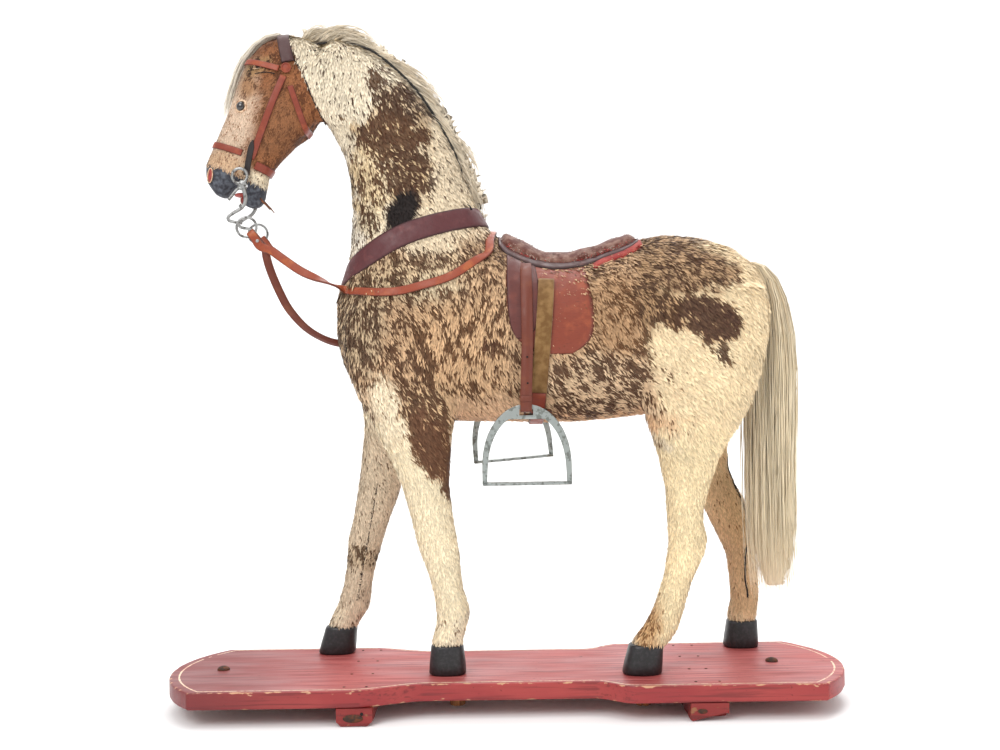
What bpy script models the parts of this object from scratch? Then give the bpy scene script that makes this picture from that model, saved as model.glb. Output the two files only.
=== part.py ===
"""Toy horse covered in hide, with harness, standing on its red wooden platform.

The horse faces -X, its near side is -Y, and Z = 0 is the floor under the two battens.
Horse stations are in millimetres as drawn, x from the middle of the board, y from the horse's
own middle plane and z from the floor with the board's top at DRAWN_TOP. fig() turns them into
metres on the board's top as it is, for a horse HORSE_HEIGHT tall, so it keeps its proportions.
"""

import math

import bmesh
import bpy
from mathutils import Vector
from mathutils.bvhtree import BVHTree

MM = 0.001

# Platform
BOARD_LENGTH = 0.734
BOARD_WIDTH = 0.204
BOARD_THICK = 0.018
WAIST_WIDTH = 0.158
END_RISE = 0.040
WAIST_MIDDLE_X = 0.004
WAIST_FLAT = 0.175
FRONT_SHOULDER = 0.078
REAR_SHOULDER = 0.041
BATTEN_THICK = 0.019
FRONT_BATTEN_X = -0.157
FRONT_BATTEN_WIDTH = 0.038
REAR_BATTEN_X = 0.207
REAR_BATTEN_WIDTH = 0.040
FRONT_CHAMFER = 0.005
REAR_CHAMFER = 0.0015
BREAK_DEEP = 0.0075
BREAK_WIDE = 0.020
BREAK_LONG = 0.016
PEG_DIAMETER = 0.017
PEG_BELOW = 0.016
PEG_BEHIND = {
    "hoof_near_fore": 0.010,
    "hoof_far_fore": 0.004,
    "hoof_near_hind": 0.001,
    "hoof_far_hind": 0.0,
}
BOLT_DIAMETER = 0.014
BOLT_RISE = 0.004
BOLT_X = (-0.312, 0.292)
GAP = 0.0003

# Figure
HORSE_HEIGHT = 0.711
HORSE_Y = 0.014
DRAWN_TOP = 37.0
BODY_VOXEL = 0.0045
BODY_TRIANGLES = 2400
BODY_SMOOTHING = 5
MANE_VOXEL = 0.003
MANE_TRIANGLES = 300
HOOF_HEIGHT = 0.031
FIT = 0.0005
STRAP_THICK = 0.0024
BRIDLE_WIDTH = 0.0082
COLLAR_WIDTH = 0.024
COLLAR_THICK = 0.0036
COLLAR_CROWDING = 0.22
FLAP_THICK = 0.003
GIRTH_WIDTH = 0.017
STIRRUP_LEATHER_WIDTH = 0.0125
STIRRUP_WIDTH = 0.094
STIRRUP_HEIGHT = 0.084
STIRRUP_BAR = 0.0056
STIRRUP_DEPTH = 0.007
TREAD_DEPTH = 0.016
TREAD_THICK = 0.003
REIN_WIDTH = 0.0095
REIN_THICK = 0.0022
REIN_RING_RADIUS = 0.0108
RING_WIRE = 0.0014
BIT_WIRE = 0.0017
BIT_CHEEK_Y = 0.0285
EYE_RADIUS = 0.0058
EYE_PROUD = 0.0022
STRAP_DIP = 0.003
CROWN_THICK = 0.00312
BUCKLE_THICK = 0.003
GIRTH_THICK = 0.0022
GIRTH_DIP = 0.005
GIRTH_RISE = 46
SKIRT_THICK = 0.0038
SEAT_EDGE = 0.0048
FLAP_BELOW_SKIRT = 2
TOP_BAR_HEIGHT = 0.0055
TOP_BAR_DEPTH = 0.004
SLOT_HEIGHT = 0.0062
STIRRUP_RISE = {"near": 0.0, "far": 15.0}
STIRRUP_X = {"near": 24.5, "far": 6.0}
STIRRUP_TILT = {"near": 0.0, "far": 4.5}
STIRRUP_FOOT = 242.0
REIN_HANG = -52
REIN_CLEAR = 0.0012
STIRRUP_LEATHER_HEIGHTS = (473, 464, 450, 435, 420, 405, 392)

BOARD_BOTTOM = BATTEN_THICK
BOARD_TOP = BATTEN_THICK + BOARD_THICK

# Cross-sections of the torso: x, top z, bottom z, half-width.
TORSO = (
    (-180, 444, 396, 16),
    (-173, 466, 370, 33),
    (-157, 496, 340, 46),
    (-130, 512, 326, 57),
    (-90, 515, 311, 65),
    (-48, 514, 308, 69),
    (-11, 508, 307, 72),
    (30, 488, 306, 75),
    (66, 480, 305, 76),
    (108, 488, 307, 75),
    (156, 504, 312, 73),
    (189, 508, 316, 71),
    (234, 501, 326, 66),
    (264, 487, 344, 56),
    (284, 467, 366, 40),
    (294, 444, 390, 22),
)

# The neck from the shoulders to the poll: front x, z, crest x, z, half-width.
NECK = (
    (-180, 420, 40, 478, 60),
    (-175, 452, 10, 500, 56),
    (-167, 485, -14, 520, 49),
    (-164, 520, -30, 552, 42),
    (-163, 558, -46, 598, 36),
    (-169, 596, -75, 650, 32),
    (-181, 624, -110, 692, 29),
    (-200, 650, -149, 722, 26),
    (-222, 672, -183, 734, 24),
)

# The head from the poll to the muzzle: brow x, z, throat x, z, half-width.
HEAD = (
    (-236, 737, -200, 728, 19),
    (-258, 730, -188, 700, 26),
    (-275, 714, -184, 668, 30),
    (-284, 697, -194, 649, 33),
    (-292, 674, -208, 635, 34),
    (-300, 652, -223, 617, 30),
    (-310, 630, -238, 602, 25),
    (-318, 612, -252, 592, 22),
)
UPPER_JAW = (
    (-312, 626, -250, 600, 23),
    (-321, 606, -266, 583, 21),
    (-327, 592, -284, 577, 20.5),
    (-325, 577, -295, 565, 19),
    (-317, 563, -304, 555, 13),
)
LOWER_JAW = (
    (-288, 612, -240, 600, 22),
    (-277, 590, -255, 583, 18),
    (-277, 574, -258, 567, 16),
    (-288, 559, -261, 551, 14),
    (-284, 548, -267, 544, 10),
)

# Legs: z, front x, rear x, middle y, half-width in y.
NEAR_FORE = (
    (430, -168, -50, -38, 28),
    (375, -169, -44, -40, 30),
    (330, -153, -48, -42, 28),
    (296, -136, -55, -43, 25),
    (240, -110, -59, -44, 20),
    (186, -97, -52, -45, 17),
    (160, -89, -48, -46, 15),
    (132, -79, -46, -46, 14),
    (104, -75, -38, -46, 15),
    (88, -76, -42, -46, 14),
    (74, -80, -46, -46, 16),
    (58, -83, -45, -46, 17),
)
FAR_FORE = (
    (430, -170, -60, 38, 28),
    (375, -168, -70, 42, 30),
    (330, -161, -88, 46, 28),
    (295, -159, -104, 50, 25),
    (231, -168, -118, 56, 20),
    (190, -176, -134, 60, 17),
    (173, -181, -139, 61, 16),
    (139, -184, -150, 63, 14),
    (108, -191, -156, 65, 15),
    (90, -197, -158, 65, 15),
    (74, -205, -170, 65, 16),
    (58, -211, -172, 65, 17),
)
NEAR_HIND = (
    (450, 148, 284, -34, 30),
    (400, 146, 288, -40, 32),
    (350, 146, 277, -44, 31),
    (308, 154, 258, -48, 28),
    (278, 163, 237, -51, 24),
    (242, 171, 223, -53, 19),
    (205, 174, 212, -55, 16),
    (172, 174, 217, -56, 16),
    (141, 169, 202, -57, 14),
    (112, 159, 192, -58, 15),
    (98, 153, 188, -58, 15),
    (82, 143, 183, -58, 15),
    (72, 134, 174, -58, 16),
    (57, 128, 169, -58, 17),
)
FAR_HIND = (
    (450, 152, 286, 34, 30),
    (400, 156, 292, 40, 32),
    (350, 166, 284, 46, 31),
    (308, 184, 270, 50, 28),
    (278, 200, 260, 54, 24),
    (242, 217, 261, 58, 19),
    (201, 231, 283, 61, 16),
    (172, 245, 287, 63, 16),
    (144, 257, 291, 65, 14),
    (116, 261, 295, 66, 15),
    (92, 262, 295, 66, 15),
    (76, 258, 292, 66, 16),
    (57, 255, 290, 66, 17),
)
# Hooves: name, middle x and y, length and width at the ground, rearward lean at the top.
HOOVES = (
    ("hoof_near_fore", -63.5, -46, 40, 35, 0),
    ("hoof_far_fore", -197, 65, 42, 35, 6),
    ("hoof_near_hind", 144, -58, 42, 35, 5),
    ("hoof_far_hind", 273, 66, 40, 35, 2),
)
EYE_AT = (-281.5, 655.5)

# The forelock from the crown down the brow: x, z, y, half-thickness outward and across.
FORELOCK = (
    (-243, 738, 5, 4, 9),
    (-262, 733, 7, 5, 10),
    (-281, 716, 10, 5, 9),
    (-293, 694, 12, 5, 7),
    (-302, 668, 13, 5, 6),
    (-307, 646, 13, 3, 4),
)

# Outer and inner outline of the mane, from the crown down to the withers: x, z, x, z.
MANE = (
    (-219, 744, -214, 729),
    (-200, 747, -196, 728),
    (-172, 748, -168, 722),
    (-128, 728, -138, 706),
    (-90, 694, -106, 678),
    (-60, 660, -80, 642),
    (-36, 614, -58, 600),
    (-19, 570, -44, 562),
    (-14, 556, -38, 553),
)
MANE_DROP = (16, 34, 58, 78, 88, 84, 50, 14, 6)

# The tail from its root down: x, z, y, half-thickness along x, half-thickness along y.
TAIL = (
    (277, 476, 0, 6, 7),
    (288, 468, 0, 10, 9),
    (295, 446, 0, 16, 12),
    (299, 410, 0, 23, 14),
    (299, 360, 0, 27, 16),
    (298, 300, 0, 27, 17),
    (297, 240, 0, 26, 17),
    (297, 180, 0, 25, 16),
    (298, 142, 0, 19, 13),
    (298, 116, 0, 11, 8),
)

# Saddle flap as level rows: z, front x, rear x.
FLAP = (
    (468, 6, 91),
    (455, 5.5, 93),
    (440, 5.5, 95),
    (426, 6, 97.5),
    (411, 8, 98),
    (399, 13, 96),
    (391, 20, 92),
    (384, 32, 84),
    (378, 48, 74),
)

# Saddle from pommel to cantle: x, lowest z of the skirt, seat rise above the back.
SADDLE = (
    (-2, 497, 4),
    (6, 487, 14),
    (25, 477, 15),
    (50, 470, 11.5),
    (72, 470, 12),
    (92, 473, 12.5),
    (114, 481, 13),
    (132, 487, 13.5),
    (145, 494, 11),
    (152, 499, 4),
)

# Reins from the near bit ring over the withers to the far one: x, y, z and how flat they lie.
NEAR_REIN = (
    (-261, -33, 501, 0),
    (-250, -33, 497, 0),
    (-239, -34, 489, 0),
    (-218, -37, 474, 0.1),
    (-200, -44, 465, 0.5),
    (-184, -52, 458, 0.9),
)
FAR_REIN = (
    (-267, 33, 500, 0),
    (-262, 33, 480, 0),
    (-251, 34, 453, 0.1),
    (-240, 36, 433, 0.3),
    (-222, 40, 413, 0.5),
    (-200, 48, 400, 0.5),
    (-180, 56, 396, 0.3),
)
NEAR_REIN_ON_BODY = ((-168, 452), (-150, 449), (-127, 447), (-107, 448), (-87, 453), (-53, 463), (-25, 481))
FAR_REIN_ON_BODY = ((-160, 399), (-140, 405), (-115, 415), (-87, 431), (-53, 452), (-25, 478))
REIN_TOP = (-8, 510)
REIN_RING_AT = (-275.5, 522)
BIT_RING_AT = (-283, 578.6)
BIT_RING_RADIUS = 8.2
# Swellings under the hide, made on both sides: middle x, y, z and half-sizes.
MUSCLES = {
    "thigh": ((222, 36, 400), (62, 36, 68)),
    "shoulder": ((-112, 34, 410), (54, 38, 72)),
    "cheek": ((-232, 13, 648), (30, 19, 30)),
}

# Bridle straps along each side: x, z.
CHEEK_STRAP = ((-233, 686), (-251, 644), (-268, 606), (-272, 599))
BIT_HANGER = ((-273.5, 592), (-277, 585.5))

# Straps round the head: middle x, z, a point it faces, first and last angle, steps, how far
# out it is looked for, width, thickness and material.
BRIDLE_HOOPS = {
    "crown_strap": ((-229, 706), (-238, 746), -8, 188, 15, 0.055, 1.7, CROWN_THICK, "brown_leather"),
    "browband": ((-236, 694), (-277, 707), 14, 166, 13, 0.055, 0.85, STRAP_THICK, "tan_leather"),
    "throat_latch": ((-226, 676), (-206, 614), 6, 174, 17, 0.066, 0.8, STRAP_THICK, "tan_leather"),
    "noseband": ((-279, 604), (-313, 616), 12, 168, 13, 0.055, 0.9, STRAP_THICK, "tan_leather"),
    "chin_strap": ((-274, 595), (-248, 582), 26, 154, 12, 0.055, 1.15, STRAP_THICK, "brown_leather"),
}

SHANK = (
    (-281, 571),
    (-278, 561),
    (-277, 552),
    (-281, 544),
    (-290, 538.5),
    (-296, 534),
    (-295, 530),
    (-288, 528),
    (-281, 527),
)
HOOK = ((-280, 566), (-286, 564), (-291, 558), (-295.5, 552.5))
BIT_BAR_AT = (-283.5, 570.5)

SCALE = HORSE_HEIGHT / ((max(row[1] for row in MANE) - DRAWN_TOP) * MM)


def clear_scene():
    """Remove every object that the start-up file brings."""
    for obj in list(bpy.data.objects):
        bpy.data.objects.remove(obj, do_unlink=True)


def paint(name, colour, roughness, metallic=0.0):
    """A plain material with one colour."""
    material = bpy.data.materials.new(name)
    material.use_nodes = True
    shader = material.node_tree.nodes["Principled BSDF"]
    shader.inputs["Base Color"].default_value = (*colour, 1.0)
    shader.inputs["Roughness"].default_value = roughness
    shader.inputs["Metallic"].default_value = metallic
    return material


def fig(x, y, z):
    """A figure station in metres on the board as built."""
    return Vector(
        (x * MM * SCALE, HORSE_Y + y * MM * SCALE, BOARD_TOP + (z - DRAWN_TOP) * MM * SCALE)
    )


def build(name, verts, faces, material, smooth=True):
    """One closed mesh object, faces turned outward."""
    mesh = bpy.data.meshes.new(name)
    mesh.from_pydata([tuple(v) for v in verts], [], faces)
    bm = bmesh.new()
    bm.from_mesh(mesh)
    bmesh.ops.recalc_face_normals(bm, faces=bm.faces)
    bmesh.ops.triangulate(bm, faces=bm.faces)
    if bm.calc_volume(signed=True) < 0:
        bmesh.ops.reverse_faces(bm, faces=bm.faces)
    for face in bm.faces:
        face.smooth = smooth
    bm.to_mesh(mesh)
    bm.free()
    mesh.materials.append(material)
    obj = bpy.data.objects.new(name, mesh)
    bpy.context.scene.collection.objects.link(obj)
    return obj


def skin(rings):
    """Quads between equal rings and a fan over each end."""
    verts = [p for ring in rings for p in ring]
    size = len(rings[0])
    faces = []
    for i in range(len(rings) - 1):
        for j in range(size):
            k = (j + 1) % size
            faces.append((i * size + j, i * size + k, (i + 1) * size + k, (i + 1) * size + j))
    faces.append(tuple(range(size))[::-1])
    faces.append(tuple((len(rings) - 1) * size + j for j in range(size)))
    return verts, faces


def power(value, exponent):
    """A signed power, for rings between an ellipse and a box."""
    return math.copysign(abs(value) ** exponent, value)


def ring(middle, axis_a, axis_b, count=20, square=0.9):
    """A rounded ring whose half-axes are the two vectors."""
    points = []
    for k in range(count):
        angle = 2 * math.pi * k / count
        points.append(
            middle + axis_a * power(math.cos(angle), square) + axis_b * power(math.sin(angle), square)
        )
    return points


def between(table, share):
    """A table row at a share of its length, smooth between rows."""
    place = share * (len(table) - 1)
    i = min(int(place), len(table) - 2)
    t = place - i
    rows = [table[max(i - 1, 0)], table[i], table[i + 1], table[min(i + 2, len(table) - 1)]]
    out = []
    for a, b, c, d in zip(*rows):
        out.append(
            0.5
            * (2 * b + (c - a) * t + (2 * a - 5 * b + 4 * c - d) * t**2 + (3 * b - a - 3 * c + d) * t**3)
        )
    return out


def many(table, count):
    """The table's rows spread evenly to count rows."""
    return [between(table, k / (count - 1)) for k in range(count)]


def apply_modifier(obj, kind, **settings):
    """Add one modifier, keep its result as the object's mesh and remove it."""
    modifier = obj.modifiers.new(kind, kind)
    for key, value in settings.items():
        setattr(modifier, key, value)
    graph = bpy.context.evaluated_depsgraph_get()
    mesh = bpy.data.meshes.new_from_object(obj.evaluated_get(graph))
    obj.modifiers.clear()
    old = obj.data
    obj.data = mesh
    mesh.name = obj.name
    bpy.data.meshes.remove(old)


def grown(obj, distance):
    """A copy of the object with every face moved out by at least the distance."""
    mesh = obj.data.copy()
    bm = bmesh.new()
    bm.from_mesh(mesh)
    bmesh.ops.triangulate(bm, faces=bm.faces)
    bm.normal_update()
    moves = []
    for vert in bm.verts:
        least = min((vert.normal.dot(f.normal) for f in vert.link_faces), default=1.0)
        moves.append(vert.normal * distance / max(least, 0.35))
    for vert, move in zip(bm.verts, moves):
        vert.co += move
    bm.to_mesh(mesh)
    bm.free()
    cutter = bpy.data.objects.new(obj.name + "_grown", mesh)
    cutter.hide_render = True
    cutter.display_type = "WIRE"
    bpy.context.scene.collection.objects.link(cutter)
    return cutter


def cut(obj, cutter, operation="DIFFERENCE"):
    """Boolean with a cutter that stays in the scene, its result in triangles."""
    apply_modifier(obj, "BOOLEAN", operation=operation, solver="EXACT", use_self=True, object=cutter)
    bm = bmesh.new()
    bm.from_mesh(obj.data)
    bmesh.ops.triangulate(bm, faces=bm.faces)
    bm.to_mesh(obj.data)
    bm.free()


def drop(obj):
    """Remove a cutter once it has been used."""
    mesh = obj.data
    bpy.data.objects.remove(obj, do_unlink=True)
    bpy.data.meshes.remove(mesh)


def flat_feet(body, mats):
    """Cut each leg level just above its hoof."""
    for row in HOOVES:
        x, y, half_x, half_y = hoof_foot(row)
        top = BOARD_TOP + HOOF_HEIGHT * SCALE + 2 * GAP
        wide_x = half_x * 1.6
        wide_y = half_y * 1.6
        block = box("foot_cut", x - wide_x, x + wide_x, y - wide_y, y + wide_y, 0.01, top, mats)
        cut(body, block)
        drop(block)


def clear_of(obj, others, distance=FIT):
    """Cut the object so that it lies on the others with an even gap."""
    for other in others:
        cutter = grown(other, distance)
        cut(obj, cutter)
        drop(cutter)


def join_into(obj, other):
    """Make two solids one."""
    cut(obj, other, "UNION")
    drop(other)


def extruded(name, outline, z0, z1, material):
    """A plate over an outline of (x, y) in metres."""
    count = len(outline)
    verts = [(x, y, z0) for x, y in outline] + [(x, y, z1) for x, y in outline]
    faces = [tuple(range(count))[::-1], tuple(range(count, 2 * count))]
    for i in range(count):
        j = (i + 1) % count
        faces.append((i, j, count + j, count + i))
    return build(name, verts, faces, material, smooth=False)


def disc(name, x, y, z0, z1, radius, material, count=16):
    """An upright cylinder."""
    outline = [
        (x + radius * math.cos(2 * math.pi * k / count), y + radius * math.sin(2 * math.pi * k / count))
        for k in range(count)
    ]
    return extruded(name, outline, z0, z1, material)


def board_side():
    """(x, half-width) along one side, from the front corner to the rear one."""
    full = BOARD_WIDTH / 2
    waist = WAIST_WIDTH / 2
    corner = BOARD_LENGTH / 2 - END_RISE
    flat_front = WAIST_MIDDLE_X - WAIST_FLAT / 2
    flat_rear = WAIST_MIDDLE_X + WAIST_FLAT / 2
    side = [(-corner, full)]
    steps = 6
    for start, length, low, high in (
        (flat_front - FRONT_SHOULDER, FRONT_SHOULDER, full, waist),
        (flat_rear, REAR_SHOULDER, waist, full),
    ):
        for k in range(steps + 1):
            t = k / steps
            ease = t * t * (3 - 2 * t)
            side.append((start + length * t, low + (high - low) * ease))
    side.append((corner, full))
    return side


def board_outline():
    """The board's outline, anticlockwise from above."""
    side = board_side()
    corner, full = side[-1]
    radius = (full * full + END_RISE * END_RISE) / (2 * END_RISE)
    middle = BOARD_LENGTH / 2 - radius
    reach = math.asin(full / radius)
    steps = 14
    outline = [(x, -y) for x, y in side]
    for k in range(1, steps):
        angle = -reach + 2 * reach * k / steps
        outline.append((middle + radius * math.cos(angle), radius * math.sin(angle)))
    outline += [(x, y) for x, y in reversed(side)]
    for k in range(1, steps):
        angle = -reach + 2 * reach * k / steps
        outline.append((-middle - radius * math.cos(angle), -radius * math.sin(angle)))
    return outline


def hoof_foot(row):
    """Middle x, y and the half-sizes of a hoof at the ground, in metres."""
    _, x, y, length, width, _ = row
    foot = fig(x, y, DRAWN_TOP)
    return foot.x, foot.y, length * MM * SCALE / 2, width * MM * SCALE / 2


def make_platform(mats):
    """Board, battens, pegs and bolt heads."""
    board = extruded("platform_board", board_outline(), BOARD_BOTTOM, BOARD_TOP, mats["red_paint"])
    front = make_batten("axle_batten_front", FRONT_BATTEN_X, FRONT_BATTEN_WIDTH, FRONT_CHAMFER, mats)
    rear = make_batten("axle_batten_rear", REAR_BATTEN_X, REAR_BATTEN_WIDTH, REAR_CHAMFER, mats)
    break_corner(rear, mats)
    for row in HOOVES:
        x, y, _, _ = hoof_foot(row)
        x += PEG_BEHIND[row[0]] * SCALE
        hole = disc("peg_hole", x, y, -0.01, BOARD_TOP + 0.01, PEG_DIAMETER / 2 + GAP, mats["red_paint"])
        cut(board, hole)
        for batten, middle, width in (
            (front, FRONT_BATTEN_X, FRONT_BATTEN_WIDTH),
            (rear, REAR_BATTEN_X, REAR_BATTEN_WIDTH),
        ):
            if abs(x - middle) < (width + PEG_DIAMETER) / 2 + 2 * GAP:
                cut(batten, hole)
        drop(hole)
        name = row[0].replace("hoof", "leg_peg")
        disc(name, x, y, BOARD_BOTTOM - PEG_BELOW, BOARD_TOP, PEG_DIAMETER / 2, mats["bare_wood"])
    for name, x in zip(("bolt_front", "bolt_rear"), BOLT_X):
        make_bolt(name, x, mats)


def make_batten(name, x, width, chamfer, mats):
    """One cross batten, its lower corners cut, its top just under the board."""
    half = width / 2
    c = chamfer
    top = BATTEN_THICK - GAP
    profile = [
        (x - half + c, 0),
        (x + half - c, 0),
        (x + half, c),
        (x + half, top),
        (x - half, top),
        (x - half, c),
    ]
    y = BOARD_WIDTH / 2
    verts = [(px, -y, pz) for px, pz in profile] + [(px, y, pz) for px, pz in profile]
    n = len(profile)
    faces = [tuple(range(n))[::-1], tuple(range(n, 2 * n))]
    faces += [(i, (i + 1) % n, n + (i + 1) % n, n + i) for i in range(n)]
    return build(name, verts, faces, mats["batten_paint"], smooth=False)


def break_corner(batten, mats):
    """Take away the split lower corner of the rear batten's near end."""
    edge = REAR_BATTEN_X + REAR_BATTEN_WIDTH / 2
    near = -BOARD_WIDTH / 2
    past = 0.01
    block = box(
        "broken", edge - BREAK_WIDE, edge + past, near - past, near + BREAK_LONG, -past, BREAK_DEEP, mats
    )
    cut(batten, block)
    drop(block)


def box(name, x0, x1, y0, y1, z0, z1, mats):
    """A plain block, used as a cutter."""
    return extruded(name, [(x0, y0), (x1, y0), (x1, y1), (x0, y1)], z0, z1, mats["red_paint"])


def make_bolt(name, x, mats):
    """A domed bolt head lying on the board."""
    base = BOARD_TOP + GAP
    rings = []
    for t in (0.0, 0.35, 0.7, 0.92):
        radius = BOLT_DIAMETER / 2 * math.sqrt(1 - t * t * 0.96)
        rings.append(
            ring(
                Vector((x, 0, base + BOLT_RISE * t)),
                Vector((radius, 0, 0)),
                Vector((0, radius, 0)),
                12,
                1.0,
            )
        )
    verts, faces = skin(rings)
    build(name, verts, faces, mats["dark_iron"])


def limb(name, rows, count, mats):
    """A leg as level rings."""
    rings = []
    for z, front, rear, y, half in many(rows, count):
        middle = fig((front + rear) / 2, y, z)
        rings.append(
            ring(
                middle,
                Vector(((rear - front) / 2 * MM * SCALE, 0, 0)),
                Vector((0, half * MM * SCALE, 0)),
                20,
                0.95,
            )
        )
    verts, faces = skin(rings)
    return build(name, verts, faces, mats["hide"])


def slanted(name, rows, count, mats, square=0.92):
    """Neck, head or jaw as rings between a front and a rear point."""
    rings = []
    for fx, fz, rx, rz, half in many(rows, count):
        front = fig(fx, 0, fz)
        rear = fig(rx, 0, rz)
        rings.append(
            ring((front + rear) / 2, (rear - front) / 2, Vector((0, half * MM * SCALE, 0)), 24, square)
        )
    verts, faces = skin(rings)
    return build(name, verts, faces, mats["hide"])


def torso(mats):
    """The barrel as upright rings, fuller below the middle of its height."""
    rings = []
    for x, top, bottom, half in many(TORSO, 34):
        rings.append(
            ring(
                fig(x, 0, (top + bottom) / 2),
                Vector((0, 0, (top - bottom) / 2 * MM * SCALE)),
                Vector((0, half * MM * SCALE, 0)),
                32,
                0.9,
            )
        )
    verts, faces = skin(rings)
    return build("torso", verts, faces, mats["hide"])


def make_body(mats):
    """The hide-covered figure as one solid."""
    parts = [
        torso(mats),
        slanted("neck", NECK, 20, mats),
        slanted("head", HEAD, 18, mats),
        slanted("upper_jaw", UPPER_JAW, 10, mats),
        slanted("lower_jaw", LOWER_JAW, 10, mats),
        limb("near_fore", NEAR_FORE, 26, mats),
        limb("far_fore", FAR_FORE, 26, mats),
        limb("near_hind", NEAR_HIND, 28, mats),
        limb("far_hind", FAR_HIND, 28, mats),
    ]
    for side in (-1, 1):
        for name, ((x, y, z), sizes) in MUSCLES.items():
            parts.append(muscle(name, (x, side * y, z), sizes, mats))
    verts = []
    faces = []
    for part in parts:
        start = len(verts)
        verts += [v.co.copy() for v in part.data.vertices]
        faces += [tuple(start + i for i in p.vertices) for p in part.data.polygons]
        drop(part)
    mesh = bpy.data.meshes.new("horse_body")
    mesh.from_pydata([tuple(v) for v in verts], [], faces)
    mesh.materials.append(mats["hide"])
    body = bpy.data.objects.new("horse_body", mesh)
    bpy.context.scene.collection.objects.link(body)
    rounded(body, BODY_VOXEL * SCALE, BODY_SMOOTHING, BODY_TRIANGLES)
    body.data.materials.clear()
    body.data.materials.append(mats["hide"])
    return body


def rounded(obj, voxel, smoothing, triangles):
    """Turn a mesh of crossing shells into one smooth solid of about that many triangles."""
    apply_modifier(obj, "REMESH", mode="VOXEL", voxel_size=voxel)
    apply_modifier(obj, "SMOOTH", factor=0.5, iterations=smoothing)
    count = sum(len(p.vertices) - 2 for p in obj.data.polygons)
    apply_modifier(obj, "DECIMATE", ratio=triangles / count)
    bm = bmesh.new()
    bm.from_mesh(obj.data)
    bmesh.ops.triangulate(bm, faces=bm.faces)
    for face in bm.faces:
        face.smooth = True
    bm.to_mesh(obj.data)
    bm.free()


def muscle(name, middle, sizes, mats):
    """A rounded swelling under the hide."""
    rings = []
    steps = 12
    for k in range(steps + 1):
        angle = math.pi * k / steps
        around = math.sin(angle) * 0.999 + 0.001
        rings.append(
            ring(
                fig(middle[0], middle[1], middle[2] + sizes[2] * math.cos(angle)),
                Vector((sizes[0] * around * MM * SCALE, 0, 0)),
                Vector((0, sizes[1] * around * MM * SCALE, 0)),
                20,
                1.0,
            )
        )
    verts, faces = skin(rings)
    return build(name, verts, faces, mats["hide"])


def make_hoof(row, mats):
    """A black wooden hoof standing on the board, under the end of its leg."""
    name, _, _, _, _, lean = row
    x, y, half_x, half_y = hoof_foot(row)
    rings = []
    height = HOOF_HEIGHT * SCALE
    for t, size in ((0.0, 0.97), (0.06, 1.0), (0.6, 0.93), (1.0, 0.86)):
        middle = Vector((x + lean * MM * SCALE * t, y, BOARD_TOP + GAP + height * t))
        rings.append(ring(middle, Vector((half_x * size, 0, 0)), Vector((0, half_y * size, 0)), 16, 0.72))
    verts, faces = skin(rings)
    return build(name, verts, faces, mats["black_paint"])


class Surface:
    """The body's surface, asked with rays."""

    def __init__(self, *objects):
        self.trees = []
        graph = bpy.context.evaluated_depsgraph_get()
        for obj in objects:
            self.trees.append(BVHTree.FromObject(obj, graph))

    def hit(self, start, way, reach=1.0):
        """Where a ray from outside first meets the surface, or None."""
        best = None
        for tree in self.trees:
            place, _, _, far = tree.ray_cast(start, way, reach)
            if place is not None and (best is None or far < best[1]):
                best = (place, far)
        return best[0] if best else None

    def side(self, x, z, near=True):
        """The surface point at x, z (metres) seen from one side."""
        sign = -1 if near else 1
        start = Vector((x, HORSE_Y + sign * 0.3, z))
        return self.hit(start, Vector((0, -sign, 0)))

    def around(self, middle, way, reach=0.2):
        """The surface point met from a distance outside towards a middle point."""
        return self.hit(middle + way * reach, -way, reach)


def strap(name, surface, path, width, material, thick=STRAP_THICK, dip=STRAP_DIP, closed=False):
    """A band that follows a path of (place, outward way) and takes the surface's shape.

    Each edge is put on the surface again, so the band lies flat on it; the underside dips
    below the surface until it is cut clear.
    """
    count = len(path)
    rings = []
    for i, (place, way) in enumerate(path):
        before = path[(i - 1) % count][0] if closed or i else path[0][0]
        after = path[(i + 1) % count][0] if closed or i < count - 1 else path[-1][0]
        along = (after - before).normalized()
        across = along.cross(way).normalized()
        up = across.cross(along).normalized()
        if up.dot(way) < 0:
            up = -up
        corners = []
        for side in (-1, 1):
            edge = place + across * side * width / 2
            found = surface.hit(edge + up * 0.03, -up, 0.06) if surface else None
            if found is not None and (found - edge).length < 0.012:
                edge = found
            corners.append(edge)
        low = [c - up * dip for c in corners]
        high = [c + up * thick for c in corners]
        rings.append([low[0], low[1], high[1], high[0]])
    verts = [p for r in rings for p in r]
    faces = []
    spans = count if closed else count - 1
    for i in range(spans):
        n = (i + 1) % count
        for j in range(4):
            k = (j + 1) % 4
            faces.append((i * 4 + j, i * 4 + k, n * 4 + k, n * 4 + j))
    if not closed:
        faces.append((0, 3, 2, 1))
        faces.append(tuple((count - 1) * 4 + j for j in range(4)))
    return build(name, verts, faces, material, smooth=False)


def spread(points, count):
    """Points spread evenly by length along a smooth line through the given ones."""
    line = [Vector(between(points, k / 200)) for k in range(201)]
    lengths = [0.0]
    for a, b in zip(line, line[1:]):
        lengths.append(lengths[-1] + (b - a).length)
    out = []
    j = 0
    for k in range(count):
        want = lengths[-1] * k / (count - 1)
        while j < 199 and lengths[j + 1] < want:
            j += 1
        part = (want - lengths[j]) / max(lengths[j + 1] - lengths[j], 1e-9)
        out.append(line[j].lerp(line[j + 1], part))
    return out


def side_path(surface, points, count, near=True):
    """A path along one side of the body through (x, z) stations."""
    path = []
    sign = -1 if near else 1
    for p in spread([(x, 0.0, z) for x, z in points], count):
        station = fig(p.x, 0, p.z)
        place = surface.side(station.x, station.z, near)
        path.append((place, Vector((0, sign, 0))))
    return path


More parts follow.
